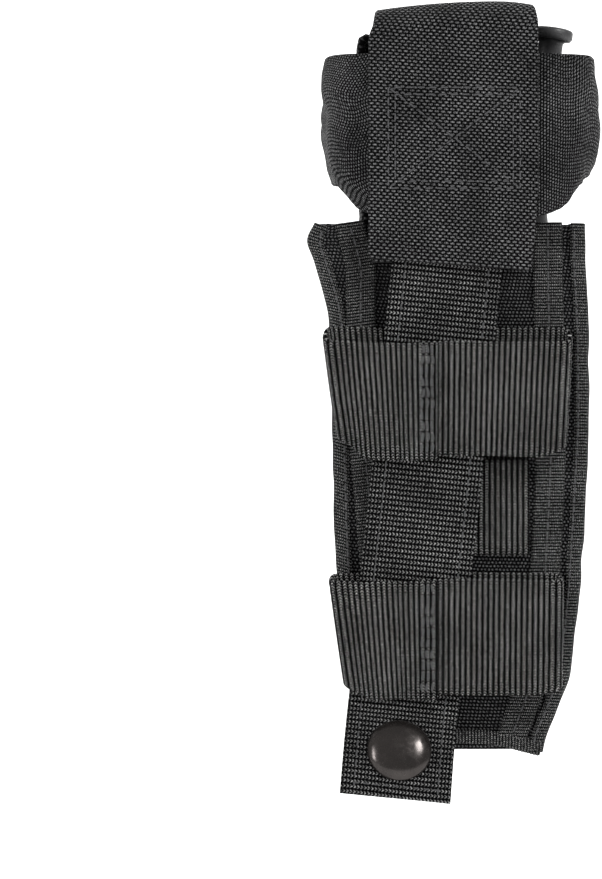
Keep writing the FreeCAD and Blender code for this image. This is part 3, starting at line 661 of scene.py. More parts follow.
# ================================================================ webbing on the wearer's side
def band_loop(name, node, left, right, foot_rise, back_rise):
    """A flattened loop of heavy webbing with its ends lapped at the sewn column.

    left and right give the loop's ends from its lower edge to its upper edge.
    """
    low, high = node_box(node)
    depth, thick = high[Y] - low[Y], 1.45
    radius = (depth - thick) / 2
    lap_left, lap_right, lift = -9.6, -5.2, 1.2
    inner_x = [left[1] + radius + 0.8, right[1] - radius - 0.8]
    line = [(lap_left, thick / 2 + 0.2), (-7.0, thick / 2 + 0.2), (-2.0, thick / 2)]
    line += [(inner_x[1], thick / 2)]
    centre_y = thick / 2 + radius
    line += arc_points((inner_x[1], centre_y), radius, -90, 90, 16)[1:]
    line += [(inner_x[0], centre_y + radius)]
    line += arc_points((inner_x[0], centre_y), radius, 90, 270, 16)[1:]
    line += [(lap_left - 4.5, thick / 2), (lap_left - 1.5, thick / 2 - lift * 0.6)]
    line += [(lap_left + 0.8, thick / 2 - lift), (lap_right, thick / 2 - lift)]
    path, walk = resample(line, RIB_PERIOD / 6)
    height = np.linspace(0, 1, 56)
    x, y = path[:, 0][:, None], path[:, 1][:, None]
    h = height[None, :]
    toward_left = np.clip((-7 - x) / (-7 - inner_x[0]), 0, 1.2)
    toward_right = np.clip((x + 7) / (inner_x[1] + 7), 0, 1.2)
    end_left = mix(left[0], left[1], h) - left[1]
    end_right = mix(right[0], right[1], h) - right[1]
    gx = x + end_left * toward_left + end_right * toward_right
    behind = smooth((y - thick / 2) / (2 * radius))
    corner = foot_rise * (1 - h) ** 2 * (
        smooth((-x + inner_x[0] + 5) / 6) + 0.5 * smooth((x - inner_x[1] + 4) / 6)
    )
    lapped = smooth((walk[:, None] - walk[-1] + 26) / 10) * (y < centre_y)
    gz = low[Z] + (high[Z] - low[Z]) * h + back_rise * behind + corner - 1.1 * lapped * (1 - h * 0.6)
    gz = gz + waves(gx, gz, 3, 60) * 0.25
    bow = 0.35 * waves(gx, gz * 1.5, 5, 45) * (1 - behind)
    gy = y + bow + np.zeros_like(h)
    grid = np.stack(np.broadcast_arrays(gx, gy, gz), 2)
    chevron = 0.035 * np.sin(TAU * gz / 0.62 + 2.2 * np.sin(TAU * walk[:, None] / RIB_PERIOD))
    edge_cord = smooth((np.abs(h - 0.5) - 0.455) / 0.03)
    relief = 0.30 * ribs(walk, RIB_PERIOD)[:, None] * (1 - 0.35 * edge_cord) + chevron - 0.1
    weave = (walk[:, None] + 0 * h, h * (high[Z] - low[Z]) + 0 * walk[:, None])
    thing = cloth_solid(name, grid, thick - 0.35, relief, relief * 0.5, hem=0.5, weave=weave)
    finish_piece(thing, "band", (node,))
    column = []
    for k, x_stitch in enumerate((-8.6, -7.5, -6.4)):
        z = np.linspace(low[Z] + 0.6, high[Z] - 0.6, 30)
        xs = x_stitch + 0.25 * np.sin(z * 0.7 + k)
        ys = np.full_like(z, low[Y] - lift - 0.05) + 0.35 * waves(xs, z * 1.5, 5, 45)
        column.append((np.stack([xs, ys, z], 1), np.array([0, -1, 0])))
    sewn = stitches(name + "_seam", column, 0.26, 1.9, 0.5)
    finish_piece(sewn, "thread")


def flat_webbing(name, grid, thick, period, power, height, material, nodes, body="pouch"):
    """Webbing with cross ribs along the grid's first direction."""
    u, _ = grid_lengths(grid)
    relief = height * ribs(u, period, power) - height * 0.3
    thing = cloth_solid(name, grid, thick - height, relief, relief * 0.6, hem=0.6)
    finish_piece(thing, material, nodes, body)


def upright_sheet(x, z, low, high, rows_across=False):
    """A flat grid halfway between two Y faces, its rows up the sheet or across it."""
    gx, gz = np.meshgrid(x, z, indexing="ij")
    if not rows_across:
        gz, gx = np.meshgrid(z, x, indexing="ij")
    return gx, np.full_like(gx, (low[Y] + high[Y]) / 2), gz


def middle_row():
    """A flat row that lies on the back panel, with its ends under the inner tapes."""
    low, high = node_box("middle_row")
    x = np.arange(low[X], high[X] + 0.9, RIB_PERIOD / 6)
    z = np.linspace(low[Z], high[Z], 30)
    gx, gy, gz = upright_sheet(x, z, low, high, rows_across=True)
    grid = np.stack([gx, gy + 0.12 * waves(gx, gz, 8, 25), gz], 2)
    flat_webbing("row_webbing", grid, high[Y] - low[Y], RIB_PERIOD, 0.7, 0.26, "band",
                 ("middle_row",))


STRAP_LEAN = 5.8
STRAP_X = -8.65
TAIL_BEND_Z = -41.95
TAIL_LENGTH = 23.5
TAIL_KICK = 27.0
SNAP_FROM_BEND = 12.4
STRAP_HALF_THICK = 0.9


def strap_frame():
    """The vertical strap's outer face and its tail's turning point."""
    low, _ = node_box("molle_strap")
    return low[Y], joint_place("tail_lift")


def strap_line():
    """The strap's middle line in its own upright YZ plane, from its top to the tail's end."""
    face, _ = strap_frame()
    middle = face + STRAP_HALF_THICK
    kick = math.radians(TAIL_KICK)
    line = [(middle, 64.0), (middle, 0), (middle, TAIL_BEND_Z + 6), (middle, TAIL_BEND_Z + 2.5)]
    for distance, curl in ((3, 0.5), (7, 0.1), (12, 0), (18, 0), (21, 0.15), (TAIL_LENGTH, 0.5)):
        y = face - distance * math.sin(kick) + (STRAP_HALF_THICK + curl) * math.cos(kick)
        z = TAIL_BEND_Z - distance * math.cos(kick) - (STRAP_HALF_THICK + curl) * math.sin(kick)
        line.append((y, z))
    return resample(line, STRAP_RIB / 6)


def lean(points):
    """Upright points of the strap, turned to its lean."""
    return turn(points, STRAP_LEAN, "Y", (STRAP_X, 0, 0))


def vertical_strap():
    path, _ = strap_line()
    for _ in range(30):
        path[1:-1] = (path[:-2] + 2 * path[1:-1] + path[2:]) / 4
    across = np.linspace(-0.5, 0.5, 34)[None, :]
    width = 25.2
    z = path[:, 1][:, None]
    x = STRAP_X + across * width + 0.18 * waves(z, z * 0, 12, 50)
    tail = smooth((TAIL_BEND_Z - z) / 20)
    y = path[:, 0][:, None] + tail * 0.5 * np.sin(across * math.pi * 1.3 + 0.5)
    grid = np.stack(np.broadcast_arrays(x, y, z), 2)
    grid = lean(grid)
    u, v = grid_lengths(grid)
    edge = np.minimum(v, v[:, -1:] - v)
    groove = np.exp(-(((edge - 3.6) / 0.45) ** 2))
    relief = 0.22 * ribs(u, STRAP_RIB, 0.8) * (1 - 0.75 * groove) - 0.1
    thing = cloth_solid("strap_webbing", grid, 1.45, relief, relief * 0.6, hem=0.6)
    finish_piece(thing, "strap", ("molle_strap", "strap_tail"), None)
    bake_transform(thing)
    lines = []
    normals = -grid_normals(grid, False)
    for column in (4, 29):
        rows = slice(4, -6)
        face = grid[rows, column] + normals[rows, column] * 0.72
        if normals[10, column, Y] > 0:
            face = grid[rows, column] - normals[rows, column] * 0.72
        lines.append((face, unit(face - grid[rows, column])))
    seams = stitches("strap_edge_stitching", lines, 0.2, 1.7, 0.7)
    finish_piece(seams, "thread", (), None)
    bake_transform(seams)
    hem_row = len(grid) - 14
    face = grid[hem_row, 3:-3] + unit(lines[0][1][-1]) * 0.72
    cross = stitches("tail_end_stitching", [(face, lines[0][1][-1])], 0.2, 1.6, 0.6)
    finish_piece(cross, "thread", (), "tail")


def tail_point(distance):
    """A spot on the tail, a distance beyond the bend, with its outward direction."""
    _, bend = strap_frame()
    kick = math.radians(TAIL_KICK)
    down = np.array([0, -math.sin(kick), -math.cos(kick)])
    out = np.array([0, -math.cos(kick), math.sin(kick)])
    place = np.array([STRAP_X, bend[Y], TAIL_BEND_Z]) + down * distance
    return lean(place), lean(out + np.array([STRAP_X, 0, 0])) - lean(np.array([STRAP_X, 0.0, 0]))


def snap_pieces():
    """Cap and socket on the tail, stud and rivet on the back panel."""
    place, out = tail_point(SNAP_FROM_BEND)
    r = 7.3
    profile = [(0, 2.75), (1.5, 2.72), (3.2, 2.56), (4.8, 2.22), (5.9, 1.78), (6.6, 1.28)]
    profile += [(7.05, 0.8), (r, 0.45), (r + 0.05, 0.2), (r, 0.0), (6.7, -0.18), (6.2, -0.2)]
    profile += [(0, -0.2)]
    cap = lathe("cap_dome", profile, place, out, 72)
    finish_piece(cap, "cap", ("snap_cap",), "tail")
    back = place - out * 1.8
    profile = [(0, 0.2), (5.9, 0.2), (6.1, -0.1), (6.1, -0.9), (5.8, -1.3), (5.2, -1.5)]
    profile += [(4.9, -2.1), (4.7, -3.1), (4.3, -3.4), (3.4, -3.4), (3.1, -3.1), (3.0, -1.2)]
    profile += [(0, -1.2)]
    socket = lathe("socket_ring", profile, back, out, 56)
    finish_piece(socket, "steel", ("snap_socket",), "tail")
    low, high = node_box("snap_stud")
    middle = (low + high) / 2
    foot = np.array([middle[X], high[Y], middle[Z]])
    profile = [(0, 3.2), (1.6, 3.2), (2.3, 3.05), (2.75, 2.6), (2.8, 2.1), (2.45, 1.6)]
    profile += [(2.3, 1.15), (2.9, 1.0), (4.2, 0.9), (4.5, 0.6), (4.5, 0.2), (4.2, 0.0), (0, 0)]
    stud = lathe("stud_knob", profile, foot, (0, -1, 0), 48)
    finish_piece(stud, "steel", ("snap_stud",), "pouch")
    low, high = node_box("snap_post")
    foot = np.array([(low[X] + high[X]) / 2, high[Y] - 0.6, (low[Z] + high[Z]) / 2])
    profile = [(0, 0.65), (2.4, 0.6), (3.3, 0.4), (3.5, 0.15), (3.4, 0), (0, 0)]
    post = lathe("post_head", profile, foot, (0, 1, 0), 40)
    finish_piece(post, "steel", ("snap_post",), "pouch")


# ================================================================ pouch body
def back_panel():
    z = np.linspace(MOUTH_Z + 0.3, BOTTOM_Z + 0.7, 170)[:, None]
    across = np.linspace(0, 1, 90)[None, :]
    x = mix(left_edge(z) + 0.8, right_edge(z) - 0.8, across)
    y = (PANEL_LOW[Y] + PANEL_HIGH[Y]) / 2 + 0.25 * waves(x, z, 21, 30) + flare_y(x, z)
    grid = np.stack(np.broadcast_arrays(x, y, z), 2)
    thing = cloth_solid("back_fabric", grid, 1.2, hem=0.4)
    finish_piece(thing, "cordura", ("back_panel",))


def binding_section(lap):
    """The fold of a binding across its edge: (reach out from the edge, Y), from lap to lap."""
    y0, y1 = BINDING_LOW[Y] + 0.35, BINDING_HIGH[Y] - 0.35
    radius, reach = (y1 - y0) / 2, 3.2
    section = [(-reach, y0 - lap), (-radius - 0.9, y0)]
    section += arc_points((-radius, y0 + radius), radius, -90, 90, 20)
    section += [(-radius - 0.6, y1), (-reach + 0.6, y1 + 0.05)]
    return resample(section, 0.34)[0]


def beside(line, side, reach):
    """Points beside a plane line, at each reach square to it. side is 1 or -1."""
    ahead = unit(np.gradient(line, axis=0))
    out = np.stack([ahead[:, 1], -ahead[:, 0]], 1) * side
    first = line[:, 0][:, None] + out[:, 0][:, None] * reach[None, :]
    second = line[:, 1][:, None] + out[:, 1][:, None] * reach[None, :]
    return first, second


def grosgrain(name, node, grid, height, thick=0.6, flip=False, hem=0.3):
    """A grosgrain piece with its ribs across the grid's first direction."""
    relief = height * ribs(grid_lengths(grid)[0], GROSGRAIN_RIB, 0.8) - 0.05
    thing = cloth_solid(name, grid, thick, relief, 0, flip=flip, hem=hem)
    finish_piece(thing, "grosgrain", (node,))


def skin_seam(name, x, z, lift, stitch, gap):
    """A row of stitches on the outer face of a tape or a binding."""
    seam = np.stack([x, SKIN_Y + flare_y(x, z) + lift, z], 1)
    sewn = stitches(name + "_stitching", [(seam, np.array([0, -1, 0]))], 0.2, stitch, gap)
    finish_piece(sewn, "thread")


def edge_binding(name, node, side):
    """Grosgrain folded round the seam down one side."""
    line = edge_line(side)
    cross = binding_section(0.1)
    x, z = beside(line, -side, cross[:, 0])
    y = cross[:, 1][None, :] + flare_y(x, z)
    x = x + 0.22 * waves(z, y * 2, 31 + side, 22)
    grosgrain(name, node, np.stack([x, y, z], 2), 0.16, flip=side > 0)
    inset = 2.5
    walk = resample(line, 1.0)[0][2:-2]
    skin_seam(name, walk[:, 0] - side * inset, walk[:, 1], -0.1, 1.6, 0.55)


def bottom_binding():
    """Grosgrain round the lowest edge, sagging a little to the left."""
    x = np.arange(left_edge(BOTTOM_Z) + 1.0, right_edge(BOTTOM_Z) - 0.6, 0.12)
    z = follow_x(
        x, (-18.4, -52.2), (-2.0, -51.9), (5.5, -52.1), (10.3, -52.5), (16.9, -54.2), (18.6, -54.6)
    )
    line, _ = resample(np.stack([x, z], 1), 0.12)
    cross = binding_section(0.05)
    gx, gz = beside(line, 1, cross[:, 0])
    gy = cross[:, 1][None, :] + 0 * gx
    grosgrain("foot_binding", "bottom_edge_binding", np.stack([gx, gy, gz], 2), 0.16, flip=True)


def inner_tape(name, node, side, middle_line, foot):
    """A narrow ribbed tape with a line of stitches down its middle."""
    z = np.linspace(MOUTH_Z + 0.8, foot, 700)
    line, _ = resample(np.stack([smoothed(middle_line(z), 20), z], 1), GROSGRAIN_RIB / 6)
    across = np.linspace(-3.35, 3.35, 16)
    x, z = beside(line, -1, across)
    pinch = 0.3 * np.exp(-((across / 0.6) ** 2))
    y = SKIN_Y + 0.35 + pinch + flare_y(x, z) + 0.15 * waves(x * 0.4, z, 41 + side, 16)
    grosgrain(name, node, np.stack([x, y, z], 2), 0.17, thick=0.55, hem=0.4)
    walk = resample(line, 1.0)[0][1:-1]
    skin_seam(name, walk[:, 0], walk[:, 1], 0.1, 1.8, 0.65)


def left_tape_line(z):
    return -follow(
        z, (68, 25.4), (62, 23.6), (56.8, 22.4), (53, 22.6), (46, 22.6), (16, 21.7), (-41, 16.6)
    )


def right_tape_line(z):
    return follow(
        z, (68, 20.3), (52, 20.5), (20, 21.3), (2, 20.6), (-16, 19.6), (-30, 18.4), (-37, 17.0),
        (-51, 11.8),
    )


def rim_curve(z, inset):
    """The front panel's U in plan at one height, from the left flange to the right one."""
    edge_gap = 2.3
    deep = FRONT_Y - inset
    droop = smooth((-38.0 - z) / 16.0)
    deep = deep - 7.0 * droop**1.6
    y0 = PANEL_HIGH[Y] + 0.6
    xl, xr = left_edge(z) + edge_gap + inset, right_edge(z) - edge_gap - inset
    radius = 6.0 - inset
    line = [(xl, y0), (xl, y0 + 4)]
    line += arc_points((xl + radius, deep - radius), radius, 180, 90, 14)
    line += arc_points((xr - radius, deep - radius), radius, 90, 0, 14)
    line += [(xr, y0 + 4), (xr, y0)]
    return line


def wall_grid(heights, inset, columns=230):
    """The front panel's U at each height, with as many points in each."""
    rows = []
    for z in heights:
        points, _ = resample(rim_curve(z, inset), 0.5)
        share = np.linspace(0, 1, columns)
        at = np.linspace(0, 1, len(points))
        x = np.interp(share, at, points[:, 0])
        y = np.interp(share, at, points[:, 1])
        rows.append(np.stack([x, y, np.full(columns, z)], 1))
    return np.stack(rows, 1)


def front_panel():
    """Sides and front in one soft shell, dented and pulled between its seams."""
    heights = np.linspace(MOUTH_Z, BOTTOM_Z + 3.2, 190)
    grid = wall_grid(heights, 0.6)
    x, y, z = grid[..., 0], grid[..., 1], grid[..., 2]
    normals = grid_normals(grid, False)
    if normals[115, 90, Y] < 0:
        normals = -normals
    side_wall = smooth((FRONT_Y - 6 - y) / 6)
    free = smooth((y - PANEL_HIGH[Y] - 1.0) / 8) * smooth((MOUTH_Z - 1 - z) / 10)
    dents = 0.8 * waves(x * 0.7 + y, z, 52, 34) + 0.35 * waves(x + y, z * 0.6, 53, 13)
    sag = -1.1 * side_wall * smooth((MOUTH_Z - z) / 25) * smooth((z - BOTTOM_Z - 6) / 20)
    pull = 0.35 * np.sin((z + 0.25 * x) * TAU / 17.0) * side_wall
    push = free * (dents - 0.7 + sag + pull)
    push = np.minimum(push, 0.35)
    grid = grid + normals * push[..., None]
    grid[..., Y] += flare_y(grid[..., 0], z) * smooth((18 - y) / 8)
    thing = cloth_solid("front_fabric", grid, 1.0, flip=True, hem=0.4)
    finish_piece(thing, "cordura", ("front_panel",))
    return grid


def bottom_panel(front_grid):
    """The foot: a shallow rounded panel that closes the shell."""
    rim = front_grid[:, -1]
    columns = len(rim)
    chord = np.stack(
        [np.linspace(rim[0, 0], rim[-1, 0], columns), np.full(columns, rim[0, 1]),
         np.full(columns, rim[0, 2])], 1
    )
    share = np.linspace(0, 1, 60)
    grid = np.stack([mix(rim, chord, s) for s in share], 1)
    bulge = np.sin(share * math.pi)[None, :] * np.sin(np.linspace(0, math.pi, columns))[:, None]
    grid[..., Z] -= 0.9 * bulge
    thing = cloth_solid("foot_fabric", grid, 1.0, flip=True, hem=0.3)
    finish_piece(thing, "cordura", ("bottom_panel",))


def mouth_binding():
    """Grosgrain folded over the front panel's top edge."""
    line = rim_curve(MOUTH_Z, 0.6)
    path, _ = resample(line, GROSGRAIN_RIB / 6)
    path = path[20:-20]
    low, _ = node_box("mouth_binding")
    half = 0.85
    section = [(half, low[Z] + 0.3), (half, MOUTH_Z - 0.4)]
    section += arc_points((0, MOUTH_Z - 0.4), half, 0, 180, 14)
    section += [(-half, low[Z] + 0.5)]
    cross, _ = resample(section, 0.45)
    x, y = beside(path, -1, cross[:, 0])
    z = cross[:, 1][None, :] + 0.3 * waves(x, y, 61, 30)
    y = y + flare_y(x, z) * smooth((18 - y) / 8)
    grid = np.stack([x, y, z], 2)
    grosgrain("mouth_grosgrain", "mouth_binding", grid, 0.15, thick=0.55, flip=True)


# ================================================================ flap strap and elastic loop
BEND_RADIUS = 7.0
FLAP_THICK = 1.6


def flap_edges(z):
    """Left and right edge of the strap by height, narrower at its foot and over the top."""
    left = FLAP_LOW[X] + 1.6 * smooth((z - 111) / 6)
    right = follow(z, (200, 17.7), (76, 17.9), (57, 16.4)) - 0.5 * smooth((z - 114) / 4)
    return left, right


def crown(x):
    """The strap's dome from side to side, as a drop from its peak."""
    peak = 8.7
    return np.where(x < peak, -2.3 * ((peak - x) / 29.0) ** 2, -1.0 * ((x - peak) / 9.0) ** 2)


def flap_surface(path, columns):
    """The strap over a YZ path of its middle line, with its edges and its dome."""
    y, z = path[:, 0][:, None], path[:, 1][:, None]
    across = np.linspace(0, 1, columns)[None, :]
    left, right = flap_edges(z)
    x = mix(left, right, across)
    dome = smooth((z - 100) / 16)
    z = z + crown(x) * dome
    return x, y + np.zeros_like(x), z


def flap_piece(name, places, nodes):
    """A run of the flap's webbing; it is not attached to any body."""
    grid = np.stack(places, 2)
    relief = 0.10 * ribs(grid_lengths(grid)[0], FLAP_ROW, 0.8) - 0.04
    thing = cloth_solid(name, grid, FLAP_THICK - 0.15, relief, 0.0, hem=0.7)
    finish_piece(thing, "flap", nodes, None)
    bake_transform(thing)


def flap_rear_strap():
    """From the sewn foot up the wearer's side, and over to the middle of the top."""
    y_mid = FLAP_LOW[Y] + FLAP_THICK / 2
    bend_y, bend_z = FLAP_LOW[Y] + BEND_RADIUS, TOP_HIGH[Z] - BEND_RADIUS
    radius = BEND_RADIUS - FLAP_THICK / 2
    line = [(y_mid, FLAP_LOW[Z])] + arc_points((bend_y, bend_z), radius, 180, 90, 30)
    middle_y = (TOP_LOW[Y] + TOP_HIGH[Y]) / 2
    line += [(middle_y, bend_z + radius)]
    path, walk = resample(line, FLAP_ROW / 5)
    x, y, z = flap_surface(path, 60)
    share = (x - x.min()) / (x.max() - x.min())
    foot = 1 - smooth((walk[:, None]) / 22)
    z = z + foot * mix(2.3, -0.7, share)
    y = y + 0.35 * waves(x, z, 71, 42) * smooth((108 - z) / 8) - 0.15
    flap_piece("flap_rear_webbing", (x, y, z), ("flap_rear", "flap_top"))
    return middle_y


def flap_front_strap(middle_y):
    """From the middle of the top over the front bend and down to its end."""
    y_mid = APRON_HIGH[Y] - FLAP_THICK / 2
    bend_y, bend_z = APRON_HIGH[Y] - BEND_RADIUS, TOP_HIGH[Z] - BEND_RADIUS
    radius = BEND_RADIUS - FLAP_THICK / 2
    end_z = 28.0
    line = [(middle_y, bend_z + radius)]
    line += arc_points((bend_y, bend_z), radius, 90, 0, 30)
    line += [(y_mid, end_z)]
    path, _ = resample(line, FLAP_ROW / 5)
    x, y, z = flap_surface(path, 46)
    away = smooth((104 - z) / 20)
    y = y + 0.3 * waves(x, z, 72, 40) * away
    flap_piece("flap_front_webbing", (x, y, z), ("flap_front",))


def box_stitching(name, x0, x1, z0, z1, y, out, body):
    """A sewn box with a cross in it."""
    corners = [(x0, z0), (x1, z0), (x1, z1), (x0, z1), (x0, z0)]
    inner = 1.6
    second = [(x0 + inner, z0 + inner), (x1 - inner, z0 + inner), (x1 - inner, z1 - inner),
              (x0 + inner, z1 - inner), (x0 + inner, z0 + inner)]
    routes = [corners, [(x0, z0), (x1, z1)], [(x1, z0), (x0, z1)], second]
    lines = []
    for route in routes:
        points, _ = resample(route, 0.8)
        full = np.stack([points[:, 0], np.full(len(points), y), points[:, 1]], 1)
        lines.append((full, np.array([0, out, 0])))
    sewn = stitches(name, lines, 0.21, 1.9, 0.7)
    finish_piece(sewn, "thread", (), body)


def retention_loop():
    """The elastic ring: sewn to the strap, bowed out at the sides, its foot higher there."""
    low, high = node_box("retention_loop")
    thick = 1.15
    back_y, front_y = low[Y] + 0.65, high[Y] - 0.65
    sewn, side_foot, corner = low[Z] - 1.2, 78.6, 8.0
    rows = []
    for h in np.linspace(0, 1, 64):
        level = mix(side_foot, high[Z] + 0.3, h)
        left = follow(level, (107, 30.0), (102.5, 30.9), (94, 30.9), (84, 30.2), (78, 29.4))
        right = follow(level, (107, 31.4), (104, 32.1), (96, 32.3), (84, 32.1), (78, 31.0))
        line = [(-2, back_y), (right - corner - 4.5, back_y + 0.2), (right - corner, back_y + 1.3)]
        line += arc_points((right - corner, back_y + corner + 1.3), corner, -70, 0, 14)
        line += arc_points((right - corner, front_y - corner), corner, 0, 90, 16)
        line += arc_points((-left + corner, front_y - corner), corner, 90, 180, 16)
        line += arc_points((-left + corner, back_y + corner + 1.3), corner, 180, 250, 14)
        line += [(-left + corner, back_y + 1.3), (-left + corner + 4.5, back_y + 0.2)]
        line += [(-2, back_y)]
        points, walk = resample(line, 0.3)
        share = np.linspace(0, 1, 420, endpoint=False)
        at = walk / walk[-1]
        x, y = np.interp(share, at, points[:, 0]), np.interp(share, at, points[:, 1])
        aside = np.where(y > 15, 40.0, np.abs(x))
        foot = follow(
            aside, (40, side_foot), (30.5, side_foot), (29.2, 77.4), (27.6, 75.0), (25.4, 72.4),
            (23.5, 70.8), (21.0, 69.7), (18.0, sewn), (0, sewn),
        )
        top = high[Z] + 0.3 - 0.8 * smooth((y - 6) / 20)
        rows.append(np.stack([x, y, mix(foot, top, h)], 1))
    grid = np.stack(rows, 1)
    x, y, z = grid[..., 0], grid[..., 1], grid[..., 2]
    free = np.clip(smooth((np.abs(x + 1.5) - 17) / 5) + (y > 15), 0, 1)
    ripple = 0.5 * waves(z, y + x * 0.5, 81, 24) + 0.2 * np.sin((z + 0.3 * y) * TAU / 11)
    rolled = -0.9 * smooth((z.min(axis=1, keepdims=True) + 4.0 - z) / 4.0)
    normals = grid_normals(grid, True)
    if normals[105, 30, X] < 0:
        normals = -normals
    grid = grid + normals * (free * (ripple + rolled) - 0.35)[..., None]
    flip = grid_normals(grid, True)[105, 30, X] < 0
    thing = cloth_solid("elastic_loop", grid, thick, 0, 0, loop=True, flip=flip, hem=0.6)
    finish_piece(thing, "elastic", ("retention_loop",))


def anchor_piece():
    """The webbing between the strap and the back panel."""
    low, high = node_box("flap_anchor")
    x = np.linspace(low[X], high[X], 60)
    z = np.linspace(low[Z], high[Z], 60)
    grid = np.stack(upright_sheet(x, z, low, high), 2)
    flat_webbing("anchor_webbing", grid, high[Y] - low[Y] - 0.1, FLAP_ROW, 0.8, 0.1, "flap",
                 ("flap_anchor",))


def patches():
    """Loop pile on the front panel and hook pile inside the flap's end."""
    for name, node, body, seed in (("loop_pile", "loop_patch", "pouch", 91),
                                   ("hook_pile", "hook_patch", "flap_front", 92)):
        low, high = node_box(node)
        x = np.linspace(low[X], high[X], 110)
        z = np.linspace(low[Z], high[Z], 100)
        gx, gy, gz = upright_sheet(x, z, low, high)
        grid = np.stack([gx, gy, gz], 2)
        fuzz = 0.12 * waves(gx * 3, gz * 3, seed, 4) * smooth(
            (np.minimum(np.minimum(gx - low[X], high[X] - gx),
                        np.minimum(gz - low[Z], high[Z] - gz)) - 1.4) / 0.8)
        thing = cloth_solid(name, grid, high[Y] - low[Y] - 0.24, fuzz, fuzz, hem=0.5)
        finish_piece(thing, "pile", (node,), body)


def pull_tab():
    """A folded tab sewn to the flap's lower end."""
    low, high = node_box("flap_pull_tab")
    z = np.arange(low[Z], high[Z], STRAP_RIB / 6)[::-1]
    x = np.linspace(low[X], high[X], 32)
    gx, gy, gz = upright_sheet(x, z, low, high)
    grid = np.stack([gx, gy + 0.15 * waves(gx, gz, 95, 18), gz], 2)
    flat_webbing("tab_webbing", grid, high[Y] - low[Y], STRAP_RIB, 0.8, 0.2, "strap",
                 ("flap_pull_tab",), "flap_front")
    box_stitching("tab_stitching", low[X] + 2.2, high[X] - 2.2, 29.2, 34.2, high[Y] + 0.05, 1,
                  "flap_front")


# ================================================================ stowed tourniquet
TQ_WIDTH, TQ_THICK, TQ_PITCH, TQ_LAYERS = 38.0, 2.3, 2.6, 5
TQ_FOOT_Z, TQ_TOP_Z, TQ_TOP_STEP = -42.0, 111.8, 5.0
FOLD_X, FOLD_LEAN, RUN_LEAN = -19.5, -1.5, 8.0
RUN_ABOVE, RUN_BELOW = 47.0, 80.0
PLATE_FACE, PLATE_THICK = -5.95, 2.0         # behind the windlass axis
PIVOT = joint_place("windlass_turn")


def stowed(points, x, lean, centre):
    """A quarter turn into the pouch from the flat place, then the lean in the XZ plane.

    Flat: the webbing's width along X, its thickness along Y.
    """
    points = np.asarray(points, float)
    across, out, up = points[..., 0], points[..., 1], points[..., 2]
    placed = np.stack([out + x, PIVOT[Y] - across, up], -1)
    return turn(placed, lean, "Y", centre)


def on_run(points):
    """Stowed with the windlass: out is measured from the windlass axis."""
    return stowed(points, PIVOT[X], RUN_LEAN, (PIVOT[X], 0, PIVOT[Z]))


def folded_webbing():
    """Spare webbing, folded to and fro in layers that get shorter."""
    turn_radius = TQ_PITCH / 2
    reach = turn_radius + TQ_THICK / 2
    foot_z = TQ_FOOT_Z + reach
    line = []
    for layer in range(TQ_LAYERS):
        y = TQ_THICK / 2 + layer * TQ_PITCH
        top = TQ_TOP_Z - reach - (layer // 2) * TQ_TOP_STEP
        if layer % 2 == 0:
            line.append((y, foot_z))
            if layer < TQ_LAYERS - 1:
                line += arc_points((y + turn_radius, top), turn_radius, 180, 0, 14)
            else:
                line.append((y, top))
        else:
            line += arc_points((y + turn_radius, foot_z), turn_radius, 180, 360, 14)
    path, walk = resample(line, 1.1)
    across = np.linspace(-0.5, 0.5, 40)[None, :] * (TQ_WIDTH - 0.4)
    y, z = path[:, 0][:, None], path[:, 1][:, None]
    x = across + 0.25 * np.sin(walk / 37.0)[:, None]
    y = y + 0.14 * waves(across + 0 * z, z, 101, 30)
    grid = np.stack(np.broadcast_arrays(x, y, z), 2)
    grid = stowed(grid, FOLD_X, FOLD_LEAN, (FOLD_X, 0, TQ_FOOT_Z))
    u, _ = grid_lengths(grid)
    relief = 0.1 * ribs(u, 2.2, 0.8) - 0.05
    thing = cloth_solid("folded_webbing", grid, TQ_THICK - 0.3, relief, relief, hem=0.9)
    finish_piece(thing, "tq", ("tq_band_folds",), "tourniquet")


def front_run():
    """The run of webbing that carries the plate, the clip and the buckle."""
    middle = PLATE_FACE - PLATE_THICK - 0.1 - TQ_THICK / 2
    z = np.linspace(PIVOT[Z] + RUN_ABOVE, PIVOT[Z] - RUN_BELOW, 200)
    x = np.linspace(-TQ_WIDTH / 2 + 0.1, TQ_WIDTH / 2 - 0.1, 44)
    gz, gx = np.meshgrid(z, x, indexing="ij")
    flat = np.stack([gx, np.full_like(gx, middle), gz], 2)
    u, _ = grid_lengths(flat)
    relief = 0.08 * ribs(u, 2.2, 0.8) - 0.06
    thing = cloth_solid("front_webbing", on_run(flat), TQ_THICK - 0.2, relief, relief, hem=0.8)
    finish_piece(thing, "tq", ("tq_front_run",), "tourniquet")
    lines = []
    for offset in (-18.0, 18.0):
        zz = np.linspace(PIVOT[Z] + RUN_ABOVE - 2, PIVOT[Z] - RUN_BELOW + 2, 150)
        face = np.full_like(zz, middle + TQ_THICK / 2 - 0.1)
        seam = on_run(np.stack([np.full_like(zz, offset), face, zz], 1))
        lines.append((seam, np.array([1.0, 0, 0])))
    sewn = stitches("front_webbing_stitching", lines, 0.2, 2.4, 0.9)
    finish_piece(sewn, "thread", (), "tourniquet")


def hard_pieces():
    """Plate, clip and buckle, with their moulded edges rounded."""
    for name, node, width in (
        ("base_plate", "tq_base_plate", 0.5),
        ("clip_body", "tq_windlass_clip", 0.45),
        ("buckle_frame", "tq_buckle", 0.7),
    ):
        thing = softened(name, node, width)
        finish_piece(thing, "plastic", (node,), "tourniquet")


